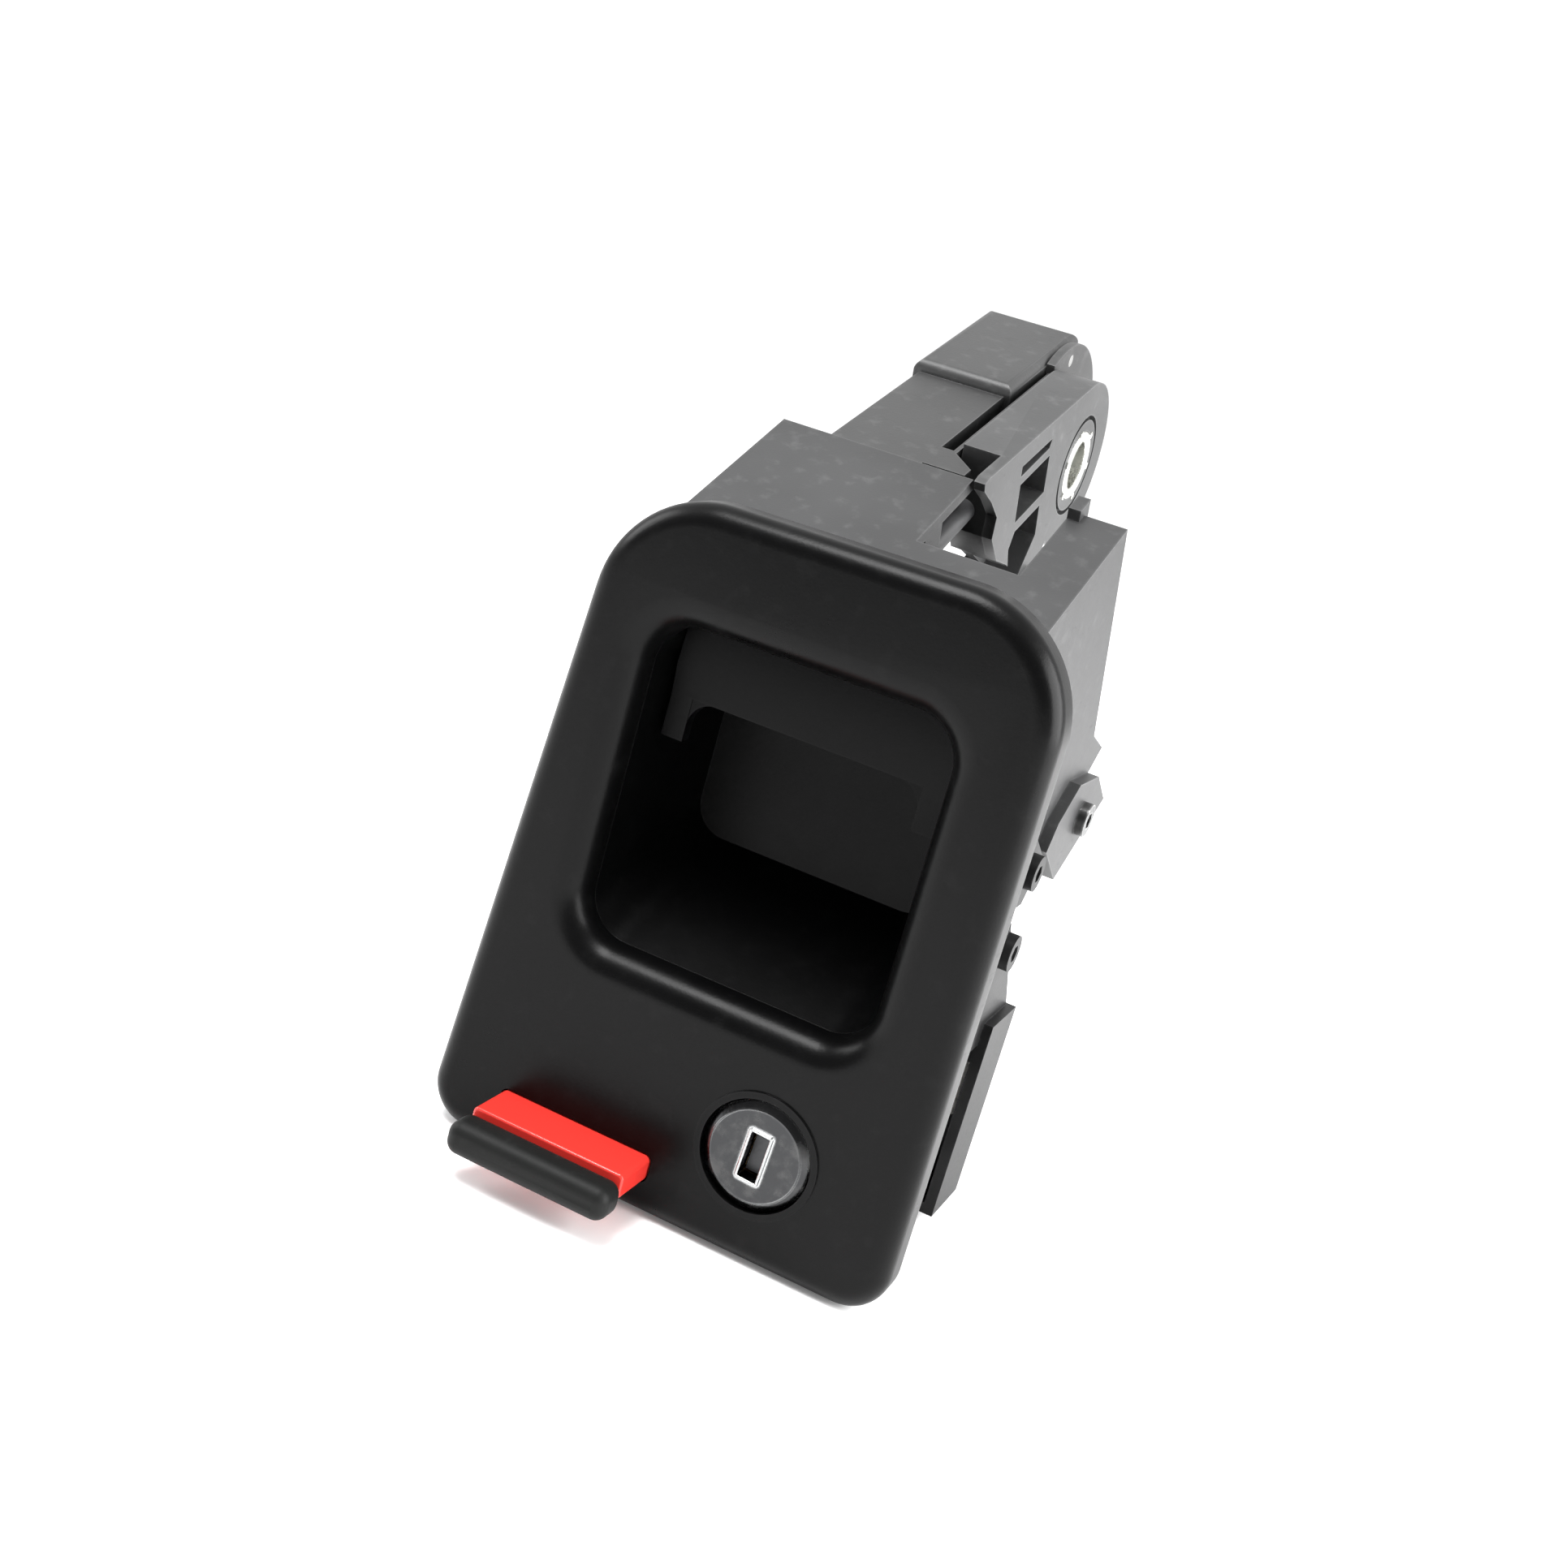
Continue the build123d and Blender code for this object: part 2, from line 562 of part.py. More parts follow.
with BuildPart() as push_rod:
    with BuildSketch(side(PUSH_X - TAIL_WIDTH / 2, HOUSING_TILT)):
        draw([
            (PUSH_HEAD_FRONT, HUB_N + 4.2),
            (PUSH_HEAD_FRONT + 3.4, HUB_N + 4.2),
            (PUSH_HEAD_FRONT + 5.2, PUSH_N - PUSH_RADIUS),
            (PUSH_HEAD_FRONT + PUSH_NECK, PUSH_N - PUSH_RADIUS),
            (PUSH_HEAD_FRONT + PUSH_NECK, PUSH_N + PUSH_RADIUS),
            (PUSH_HEAD_FRONT + 6.0, HUB_N + TAIL_REACH),
            (PUSH_HEAD_FRONT, HUB_N + TAIL_REACH),
        ])
    extrude(amount=TAIL_WIDTH)
    with BuildSketch(Plane(
        origin=(PUSH_X, *upright(PUSH_HEAD_FRONT + PUSH_NECK - 1, PUSH_N, HOUSING_TILT)),
        x_dir=(1, 0, 0),
        z_dir=(0, TILT_COS, TILT_SIN),
    )):
        Circle(PUSH_RADIUS)
    extrude(amount=PUSH_TIP - PUSH_HEAD_FRONT - PUSH_NECK + 1)

# ---------------------------------------------------------------- output lever
HUB_RADIUS = ARM_TOP - BUSH_V
LEVER_PIN = upright(LEVER_PIN_U, LEVER_PIN_V, BRACKET_TILT)
ARM_BODY_FRONT = 84.6
ARM_PLATE_LEFT = WINDOW_LEFT + 0.9
LEVER_BODY_PROFILE = [
    (ARM_BODY_FRONT, ARM_TOP),
    (ARM_BODY_FRONT - 0.4, 42.0),
    (88.5, 35.5),
    (96.0, 31.6),
    (104.0, 26.0),
    (105.5, LEVER_PIN_V),
    (118.5, LEVER_PIN_V),
    (122.0, 26.0),
    (BUSH_U, BUSH_V),
    (BUSH_U, ARM_TOP),
]
LEVER_PLATE_PROFILE = [
    (ARM_FRONT, ARM_TOP - 0.6),
    (ARM_FRONT + 0.5, 58.0),
    (77.0, 53.4),
    (82.6, 48.0),
    (82.2, 43.0),
    (88.5, 35.5),
    (100.0, 40.0),
    (100.0, ARM_TOP),
    (ARM_FRONT + 2, ARM_TOP),
]
POCKETS = [
    [(93.4, 55.6), (93.7, 53.2), (110.3, 54.0), (111.2, 55.9)],
    [(94.5, 51.0), (96.1, 41.6), (113.2, 42.6), (111.7, 51.8)],
    [(97.4, 39.0), (95.4, 35.4), (98.6, 28.0), (104.6, 22.6), (113.6, 32.0), (112.0, 39.8)],
]

with BuildPart() as output_lever:
    with BuildSketch(side(ARM_LEFT, BRACKET_TILT)):
        draw(LEVER_BODY_PROFILE)
        with Locations((BUSH_U, BUSH_V)):
            Circle(HUB_RADIUS)
        with Locations((LEVER_PIN_U, LEVER_PIN_V)):
            Circle(LEVER_BOSS_RADIUS)
    extrude(amount=ARM_RIGHT - ARM_LEFT)
    with BuildSketch(side(ARM_PLATE_LEFT, BRACKET_TILT)):
        draw(LEVER_PLATE_PROFILE)
    extrude(amount=ARM_RIGHT - ARM_PLATE_LEFT)
    # lightening pockets, open to the right; the last runs out below and leaves the hooked tip
    for pocket in POCKETS:
        with BuildSketch(side(ARM_RIGHT, BRACKET_TILT)):
            draw(pocket)
        extrude(amount=-(ARM_RIGHT - ARM_LEFT - ARM_WALL), mode=Mode.SUBTRACT)
    with BuildSketch(side(ARM_RIGHT, BRACKET_TILT)):
        with Locations((BUSH_U, BUSH_V)):
            Circle(RING_GROOVE_RADIUS + 0.5)
            Circle(RING_GROOVE_RADIUS - 0.5, mode=Mode.SUBTRACT)
    extrude(amount=-1.6, mode=Mode.SUBTRACT)
    with BuildSketch(side(ARM_LEFT, BRACKET_TILT)):
        with Locations((BUSH_U, BUSH_V)):
            Circle(BUSH_RADIUS)
        with Locations((LEVER_PIN_U, LEVER_PIN_V)):
            Circle(LEVER_PIN_RADIUS + RUNNING_GAP)
    extrude(amount=ARM_RIGHT - ARM_LEFT, mode=Mode.SUBTRACT)

with BuildPart() as lever_bush:
    with BuildSketch(side(ARM_LEFT - 0.2, BRACKET_TILT)):
        with Locations((BUSH_U, BUSH_V)):
            Circle(BUSH_RADIUS)
            Circle(BUSH_BORE, mode=Mode.SUBTRACT)
    extrude(amount=ARM_RIGHT - ARM_LEFT + 0.6)
    chamfer(lever_bush.edges().filter_by(GeomType.CIRCLE).sort_by(Axis.X)[-2:], 0.5)

# ---------------------------------------------------------------- lever yoke, pin and clips
YOKE_LEFT = ARM_LEFT - MOVE_GAP - LEVER_EAR
YOKE_RIGHT = ARM_RIGHT + MOVE_GAP + LEVER_EAR
YOKE_HIGH = 11.0
YOKE_LOW = -14.0
YOKE_MARGIN = 4.4
PIN_TN = (
    LEVER_PIN[0] * TILT_COS + LEVER_PIN[1] * TILT_SIN,
    LEVER_PIN[1] * TILT_COS - LEVER_PIN[0] * TILT_SIN,
)

with BuildPart() as lever_yoke:
    with BuildSketch(side(YOKE_SCREWS[0] - YOKE_MARGIN, HOUSING_TILT)):
        draw([
            (rear_wall(YOKE_LOW), YOKE_LOW),
            (rear_wall(YOKE_LOW) + LEVER_EAR * REAR_STRETCH, YOKE_LOW),
            (rear_wall(YOKE_HIGH) + LEVER_EAR * REAR_STRETCH, YOKE_HIGH),
            (rear_wall(YOKE_HIGH), YOKE_HIGH),
        ])
    extrude(amount=YOKE_SCREWS[1] - YOKE_SCREWS[0] + 2 * YOKE_MARGIN)
    for ear_x in (YOKE_LEFT, YOKE_RIGHT - LEVER_EAR):
        with BuildSketch(side(ear_x, HOUSING_TILT)):
            draw([
                (rear_wall(YOKE_LOW) + 1, YOKE_LOW),
                (PIN_TN[0], PIN_TN[1] - LEVER_BOSS_RADIUS),
                (PIN_TN[0], PIN_TN[1] + LEVER_BOSS_RADIUS),
                (rear_wall(YOKE_HIGH) + 1, YOKE_HIGH),
            ])
            with Locations(PIN_TN):
                Circle(LEVER_BOSS_RADIUS)
                Circle(LEVER_PIN_RADIUS, mode=Mode.SUBTRACT)
        extrude(amount=LEVER_EAR)
    for screw_x in YOKE_SCREWS:
        with BuildSketch(rear_face(screw_x, YOKE_SCREW_N)):
            Circle(SCREW_RADIUS)
        extrude(amount=LEVER_EAR, mode=Mode.SUBTRACT)

with BuildPart() as lever_pin:
    with BuildSketch(side(YOKE_LEFT - PIN_END)):
        with Locations(LEVER_PIN):
            Circle(LEVER_PIN_RADIUS)
    extrude(amount=YOKE_RIGHT - YOKE_LEFT + 2 * PIN_END)

with BuildPart() as lever_clips:
    for clip_x in (YOKE_LEFT - CLIP_THICK, YOKE_RIGHT):
        with BuildSketch(side(clip_x)):
            with Locations(LEVER_PIN):
                Circle(LEVER_PIN_RADIUS + CLIP_WIDTH)
                Circle(LEVER_PIN_RADIUS, mode=Mode.SUBTRACT)
        extrude(amount=CLIP_THICK)

# ---------------------------------------------------------------- rear cover and cheek plate
COVER_APRON = 3.4
COVER_LIP_U = 84.0
COVER_STEP_LEFT = 1.4
COVER_STEP_RIGHT = 1.6
COVER_STEP_DEPTH = 6.0
COVER_EDGE = 2.4
RIB_RIGHT = ARM_LEFT - MOVE_GAP
RIB_THICK = 1.0
RIB_REAR = 139.0
RIB_DEPTH = 14.0
TRENCH_FLOOR = 2.0
CHEEK_RADIUS = 29.0
CHEEK_CENTRE = (149.0, 33.0)
CHEEK_SLOTS = ((24.6, 3.0, 30.0, 74.0), (19.0, 2.4, 34.0, 70.0))
CHEEK_RIVETS = [(143.5, 56.5), (151.8, 58.3)]
RIVET_RADIUS = 1.4
TILT_STEP = radians(HOUSING_TILT - BRACKET_TILT)


CORNER_U = HOUSING_REAR * cos(TILT_STEP) - HOUSING_TOP * sin(TILT_STEP)
CORNER_V = HOUSING_REAR * sin(TILT_STEP) + HOUSING_TOP * cos(TILT_STEP)
WALL_SLOPE = (REAR_SLOPE + tan(TILT_STEP)) / (1 - REAR_SLOPE * tan(TILT_STEP))
COVER_FRONT_RUN = COVER_WALL * (1 + WALL_SLOPE**2) ** 0.5


def bracket_rear_wall(v):
    """Place along the bracket of the housing's rear face, at a height on the bracket's own plane."""
    return CORNER_U + (CORNER_V - v) * WALL_SLOPE


COVER_START = bracket_rear_wall(COVER_TOP)
COVER_LOW = COVER_TOP - COVER_HEIGHT
COVER_LOW_START = bracket_rear_wall(COVER_LOW)
CHEEK_LEFT = COVER_RIGHT + COVER_STEP_RIGHT

with BuildPart() as rear_cover:
    with BuildSketch(side(COVER_LEFT, BRACKET_TILT)):
        draw([
            (COVER_START, COVER_TOP),
            (COVER_LOW_START, COVER_LOW),
            (COVER_REAR, COVER_LOW),
            (COVER_REAR, COVER_TOP),
        ])
    extrude(amount=COVER_RIGHT - COVER_LEFT)
    # apron that runs on from the housing top and turns the corner to the window
    with BuildSketch(deck(COVER_TOP - HOUSING_WALL, BRACKET_TILT)):
        draw([
            (COVER_RIGHT - 1, bracket_rear_wall(COVER_TOP - HOUSING_WALL)),
            (COVER_APRON, bracket_rear_wall(COVER_TOP - HOUSING_WALL)),
            (COVER_APRON, COVER_LIP_U - 7),
            (RIB_RIGHT - RIB_THICK, COVER_LIP_U - 0.6),
            (COVER_RIGHT - 1, COVER_LIP_U - 0.6),
        ])
    extrude(amount=HOUSING_WALL)
    # raised rear section
    with BuildSketch(deck(COVER_TOP - COVER_STEP_DEPTH, BRACKET_TILT)):
        draw(rectangle(
            COVER_LEFT - COVER_STEP_LEFT,
            COVER_RIGHT + COVER_STEP_RIGHT,
            COVER_STEP_U,
            COVER_REAR,
        ))
    extrude(amount=COVER_STEP_DEPTH + COVER_STEP)
    top_face = rear_cover.faces().sort_by(Axis(origin=(0, 0, 0), direction=BRACKET_NORMAL))[-1]
    fillet(top_face.edges(), COVER_EDGE)
    # hollow, open below, with a front wall that lies on the housing
    with BuildSketch(side(COVER_LEFT + COVER_WALL, BRACKET_TILT)):
        draw([
            (bracket_rear_wall(COVER_TOP - COVER_WALL) + COVER_FRONT_RUN, COVER_TOP - COVER_WALL),
            (bracket_rear_wall(COVER_LOW - 1) + COVER_FRONT_RUN, COVER_LOW - 1),
            (COVER_REAR - COVER_WALL, COVER_LOW - 1),
            (COVER_REAR - COVER_WALL, COVER_TOP - COVER_WALL),
        ])
    extrude(amount=COVER_RIGHT - COVER_LEFT - 2 * COVER_WALL, mode=Mode.SUBTRACT)
    # floor of the trench and the thin rib beside the lever
    with BuildSketch(side(COVER_RIGHT - 0.6, BRACKET_TILT)):
        draw(rectangle(
            COVER_LIP_U - 4,
            RIB_REAR,
            COVER_TOP - RIB_DEPTH,
            COVER_TOP - RIB_DEPTH + TRENCH_FLOOR,
        ))
    extrude(amount=RIB_RIGHT - COVER_RIGHT + 0.6)
    with BuildSketch(side(RIB_RIGHT - RIB_THICK, BRACKET_TILT)):
        draw(rectangle(COVER_LIP_U - 1.4, RIB_REAR, COVER_TOP - RIB_DEPTH, COVER_TOP))
    extrude(amount=RIB_THICK)
    for screw_x in COVER_SCREWS:
        with BuildSketch(rear_face(screw_x, COVER_SCREW_N)):
            Circle(SCREW_RADIUS)
        extrude(amount=COVER_WALL + 1, mode=Mode.SUBTRACT)
    with BuildSketch(side(CHEEK_LEFT, BRACKET_TILT)):
        with Locations(*CHEEK_RIVETS):
            Circle(RIVET_RADIUS)
    extrude(amount=-COVER_WALL - COVER_STEP_RIGHT, mode=Mode.SUBTRACT)

with BuildPart() as cheek_plate:
    with BuildSketch(side(CHEEK_LEFT, BRACKET_TILT)):
        with Locations(CHEEK_CENTRE):
            Circle(CHEEK_RADIUS)
        draw(rectangle(0, RIB_REAR + 1, -40, 90), mode=Mode.SUBTRACT)
        draw(rectangle(0, 300, -40, COVER_LOW), mode=Mode.SUBTRACT)
        with Locations(CHEEK_CENTRE):
            for radius, width, start, end in CHEEK_SLOTS:
                SlotArc(CenterArc((0, 0), radius, start, end - start), width, mode=Mode.SUBTRACT)
        with Locations(*CHEEK_RIVETS):
            Circle(RIVET_RADIUS, mode=Mode.SUBTRACT)
    extrude(amount=RIB_RIGHT - CHEEK_LEFT)

with BuildPart() as cheek_rivets:
    with BuildSketch(side(CHEEK_LEFT - COVER_WALL - COVER_STEP_RIGHT, BRACKET_TILT)):
        with Locations(*CHEEK_RIVETS):
            Circle(RIVET_RADIUS)
    extrude(amount=COVER_WALL + COVER_STEP_RIGHT + RIB_RIGHT - CHEEK_LEFT)

# ---------------------------------------------------------------- key lock
CAP_BACK = FACE_Y + 2.4
CAP_FRONT = FACE_Y - KEY_FACE_PROUD
CAP_EDGE = 1.7
CAP_EDGE_DEPTH = 1.1
SLOT_RIM = 0.6
SLOT_RIM_PROUD = 0.5
BARREL_BACK = PLUG_BACK - 0.6
BARREL_FLANGE = BARREL_RADIUS + 3.2
KEYWAY_END = 28.0
WAFER_COUNT = 5
WAFER_PITCH = 4.0
WAFER_START = 6.0
WAFER_THICK = 0.8
WAFER_GAP = 0.1
WAFER_SIZE = (7.6, 11.6)
SHUTTER_FRONT = CAP_BACK - 0.6
SHUTTER_THICK = 0.8
SHUTTER_GAP = 0.35
SHUTTER_BARREL = 0.6
TAIL_SQUARE = 5.0
TAIL_LENGTH = 3.0
CAM_FRONT = PLUG_BACK + SLIDE_GAP
CAM_HUB_RADIUS = 5.2
CAM_TIP_RADIUS = 3.0


def keyed(y):
    """Upright plane on the key's axis, turned with the keyway: local x is the slot's width."""
    tilt = radians(KEYWAY_TILT)
    return Plane(origin=(KEY_X, y, KEY_Z), x_dir=(cos(tilt), 0, -sin(tilt)), z_dir=(0, -1, 0))


SHUTTER_WIDTH = KEYWAY_WIDTH - 2 * SHUTTER_GAP
SHUTTER_HEIGHT = KEYWAY_HEIGHT - 4 * SHUTTER_GAP
SHUTTER_PIVOT = SHUTTER_HEIGHT / 2 - SHUTTER_THICK / 2
SHUTTER_AXIS = Plane(
    origin=keyed(SHUTTER_FRONT + SHUTTER_THICK / 2).from_local_coords((0, SHUTTER_PIVOT, 0)),
    x_dir=(0, 1, 0),
    z_dir=keyed(0).x_dir,
)

with BuildPart() as plug_cap:
    with BuildSketch(keyed(CAP_BACK)):
        Circle(KEY_FACE_RADIUS)
    extrude(amount=CAP_BACK - CAP_FRONT)
    chamfer(plug_cap.faces().sort_by(Axis.Y)[0].edges(), length=CAP_EDGE_DEPTH, length2=CAP_EDGE)
    with BuildSketch(keyed(CAP_FRONT)):
        RectangleRounded(KEYWAY_WIDTH + 2 * SLOT_RIM, KEYWAY_HEIGHT + 2 * SLOT_RIM, SLOT_RIM)
    extrude(amount=SLOT_RIM_PROUD)
    with BuildSketch(keyed(CAP_BACK)):
        Rectangle(KEYWAY_WIDTH, KEYWAY_HEIGHT)
    extrude(amount=CAP_BACK - CAP_FRONT + 1, mode=Mode.SUBTRACT)

with BuildPart() as lock_plug:
    with BuildSketch(keyed(PLUG_BACK)):
        Circle(PLUG_RADIUS)
    extrude(amount=PLUG_BACK - CAP_BACK)
    with BuildSketch(front(PLUG_BACK + TAIL_LENGTH)):
        with Locations(KEY):
            Rectangle(TAIL_SQUARE, TAIL_SQUARE)
    extrude(amount=TAIL_LENGTH)
    with BuildSketch(keyed(KEYWAY_END)):
        Rectangle(KEYWAY_WIDTH, KEYWAY_HEIGHT)
    extrude(amount=KEYWAY_END - CAP_BACK, mode=Mode.SUBTRACT)
    for wafer in range(WAFER_COUNT):
        with BuildSketch(keyed(WAFER_START + wafer * WAFER_PITCH + WAFER_THICK + WAFER_GAP)):
            Rectangle(WAFER_SIZE[0] + WAFER_GAP, WAFER_SIZE[1] + WAFER_GAP)
        extrude(amount=WAFER_THICK + 2 * WAFER_GAP, mode=Mode.SUBTRACT)

with BuildPart() as lock_wafers:
    for wafer in range(WAFER_COUNT):
        with BuildSketch(keyed(WAFER_START + wafer * WAFER_PITCH + WAFER_THICK)):
            Rectangle(*WAFER_SIZE)
            Rectangle(KEYWAY_WIDTH, KEYWAY_HEIGHT - 1.0 - 0.5 * (wafer % 3), mode=Mode.SUBTRACT)
        extrude(amount=WAFER_THICK)

with BuildPart() as key_shutter:
    with BuildSketch(keyed(SHUTTER_FRONT + SHUTTER_THICK)):
        Rectangle(SHUTTER_WIDTH, SHUTTER_HEIGHT)
    extrude(amount=SHUTTER_THICK)
    with BuildSketch(SHUTTER_AXIS):
        Circle(SHUTTER_BARREL)
    extrude(amount=SHUTTER_WIDTH / 2, both=True)

with BuildPart() as lock_barrel:
    with BuildSketch(keyed(BARREL_BACK)):
        Circle(BARREL_RADIUS)
    extrude(amount=BARREL_BACK - CAP_BACK - SLIDE_GAP)
    with BuildSketch(front(LOCK_FLANGE_Y + LOCK_FLANGE_THICK)):
        with Locations(KEY):
            Circle(BARREL_FLANGE)
            SlotOverall(2 * LOCK_EAR + 2 * LOCK_BOSS_RADIUS, 2 * LOCK_BOSS_RADIUS)
    extrude(amount=LOCK_FLANGE_THICK)
    with BuildSketch(keyed(BARREL_BACK)):
        Circle(PLUG_RADIUS + RUNNING_GAP)
    extrude(amount=BARREL_BACK - CAP_BACK, mode=Mode.SUBTRACT)
    with BuildSketch(front(LOCK_FLANGE_Y + LOCK_FLANGE_THICK)):
        with Locations(*LOCK_EARS):
            Circle(SMALL_SCREW_RADIUS)
    extrude(amount=LOCK_FLANGE_THICK, mode=Mode.SUBTRACT)

with BuildPart() as lock_cam:
    with BuildSketch(front(CAM_FRONT + CAM_THICK)):
        with Locations(KEY):
            Circle(CAM_HUB_RADIUS)
        with Locations((KEY_X + CAM_REACH, KEY_Z)):
            Circle(CAM_TIP_RADIUS)
        with Locations((KEY_X + CAM_REACH / 2, KEY_Z)):
            Rectangle(CAM_REACH, 2 * CAM_TIP_RADIUS)
        with Locations(KEY):
            Rectangle(TAIL_SQUARE, TAIL_SQUARE, mode=Mode.SUBTRACT)
    extrude(amount=CAM_THICK)
    with BuildSketch(front(YOKE_BACK + 0.6)):
        with Locations((KEY_X + CAM_REACH, KEY_Z)):
            Circle(CAM_PIN_RADIUS)
    extrude(amount=YOKE_BACK + 0.6 - CAM_FRONT - CAM_THICK)

with BuildPart() as cam_screw:
    with BuildSketch(front(PLUG_BACK + TAIL_LENGTH + SMALL_HEAD)):
        with Locations(KEY):
            Circle(TAIL_SQUARE - 1.5)
    extrude(amount=SMALL_HEAD)

# ---------------------------------------------------------------- locking rod and its cradle
PIN_PLAY = CAM_PIN_RADIUS + SLIDE_GAP
ROD_Y = (YOKE_FRONT + YOKE_BACK) / 2
YOKE_ARC_PLAY = 0.22 * ROD_TRAVEL
CAM_YOKE_LEFT = KEY_X - 5.0
CAM_YOKE_LOW = KEY_Z - PIN_PLAY - 2.8
CAM_YOKE_HIGH = KEY_Z + PIN_PLAY + YOKE_ARC_PLAY + 2.8
CRADLE_FRONT = 38.0
WEB_FRONT = 30.0
ROD_LUG_LOW = -31.0
WEB_THICK = 2.4
WEB_PROFILE = [
    (WEB_FRONT, CRADLE_TOP - 5),
    (WEB_FRONT, CRADLE_TOP + 2),
    (33.0, 1.5),
    (CRADLE_REAR, CRADLE_TOP - 1),
    (CRADLE_REAR, CRADLE_TOP - 5),
]
LINK_PROFILE = [
    (27.0, -6.0),
    (33.0, 19.0),
    (41.0, 18.0),
    (55.0, 10.0),
    (48.0, ROD_TOP + ROD_TRAVEL + 1.2),
    (39.0, ROD_TOP + ROD_TRAVEL + 1.2),
    (37.6, -8.5),
]
WEB_LEFT = HOUSING_RIGHT + LINK_THICK

with BuildPart() as lock_rod:
    with BuildSketch(Plane.XY.offset(ROD_LOW)):
        with Locations((ROD_X, ROD_Y)):
            Circle(ROD_RADIUS)
    extrude(amount=ROD_TOP - ROD_LOW)
    chamfer(lock_rod.edges().filter_by(GeomType.CIRCLE), 0.7)

with BuildPart() as cam_yoke:
    with BuildSketch(front(YOKE_BACK)):
        draw(rectangle(CAM_YOKE_LEFT, ROD_X, CAM_YOKE_LOW, CAM_YOKE_HIGH))
        draw(
            rectangle(
                KEY_X - PIN_PLAY,
                KEY_X + CAM_REACH + PIN_PLAY,
                KEY_Z - PIN_PLAY,
                KEY_Z + PIN_PLAY + YOKE_ARC_PLAY,
            ),
            mode=Mode.SUBTRACT,
        )
    extrude(amount=YOKE_BACK - YOKE_FRONT)
    with BuildSketch(Plane.XY.offset(CAM_YOKE_LOW)):
        with Locations((ROD_X, ROD_Y)):
            Circle(ROD_RADIUS)
    extrude(amount=CAM_YOKE_HIGH - CAM_YOKE_LOW, mode=Mode.SUBTRACT)

with BuildPart() as lock_cradle:
    with BuildSketch(front(CRADLE_REAR)):
        draw(rectangle(CRADLE_LEFT, CRADLE_RIGHT, CRADLE_BOTTOM, CRADLE_TOP))
    extrude(amount=CRADLE_REAR - CRADLE_FRONT)
    with BuildSketch(front(CRADLE_REAR - CRADLE_WALL)):
        draw(rectangle(
            CRADLE_LEFT + CRADLE_WALL,
            CRADLE_RIGHT - CRADLE_WALL,
            CRADLE_BOTTOM + CRADLE_WALL,
            ROD_LUG_LOW,
        ))
    extrude(amount=CRADLE_REAR - CRADLE_WALL - CRADLE_FRONT, mode=Mode.SUBTRACT)
    # web that rises beside the housing
    with BuildSketch(side(WEB_LEFT)):
        draw(WEB_PROFILE)
    extrude(amount=WEB_THICK)
    with BuildSketch(side(WEB_LEFT)):
        with Locations(LINK_SCREWS[0]):
            Circle(SCREW_RADIUS)
    extrude(amount=WEB_THICK, mode=Mode.SUBTRACT)
    # way for the rod and for the cam yoke
    with BuildSketch(Plane.XY.offset(ROD_LUG_LOW - 1)):
        with Locations((ROD_X, ROD_Y)):
            Circle(ROD_RADIUS + RUNNING_GAP)
    extrude(amount=ROD_TOP + ROD_TRAVEL - ROD_LUG_LOW + 2, mode=Mode.SUBTRACT)
    with BuildSketch(side(CRADLE_LEFT)):
        draw(rectangle(
            YOKE_FRONT - MOVE_GAP,
            YOKE_BACK + MOVE_GAP,
            CAM_YOKE_LOW - MOVE_GAP,
            CAM_YOKE_HIGH + ROD_TRAVEL + MOVE_GAP,
        ))
    extrude(amount=CRADLE_WALL, mode=Mode.SUBTRACT)

with BuildPart() as cradle_link:
    with BuildSketch(side(HOUSING_RIGHT)):
        draw(LINK_PROFILE)
        with Locations(*LINK_SCREWS):
            Circle(SCREW_RADIUS, mode=Mode.SUBTRACT)
    extrude(amount=LINK_THICK)

# ---------------------------------------------------------------- release tab
TAB_FRONT = FACE_Y - TAB_TRAVEL - LIP_CLEAR
GUIDE_END_WALL = 2.0
GUIDE_FLANGE = 2.0
TAB_SPRING_WIRE = 0.4
TAB_SPRING_RADIUS = 2.0
TAB_SPRING_TURNS = 9
TAB_SPRING_X = (TAB_LEFT + TAB_RIGHT) / 2
TAB_SPRING_END = 0.1
TAB_SPRING_LENGTH = GUIDE_REAR - GUIDE_END_WALL - TAB_TAIL - 2 * TAB_SPRING_WIRE - 2 * TAB_SPRING_END

with BuildPart() as release_tab:
    with BuildSketch(front(TAB_TAIL)):
        add(tab_plan.sketch)
    extrude(amount=TAB_TAIL - TAB_FRONT)

with BuildPart() as tab_lip:
    with BuildSketch(front(TAB_FRONT)):
        draw(rectangle(
            TAB_LEFT - LIP_OVERHANG,
            TAB_RIGHT + LIP_OVERHANG,
            TAB_LOW - LIP_DROP,
            TAB_TOP - LIP_SET,
        ))
    extrude(amount=LIP_DEPTH)
    fillet(tab_lip.edges(), LIP_RADIUS)

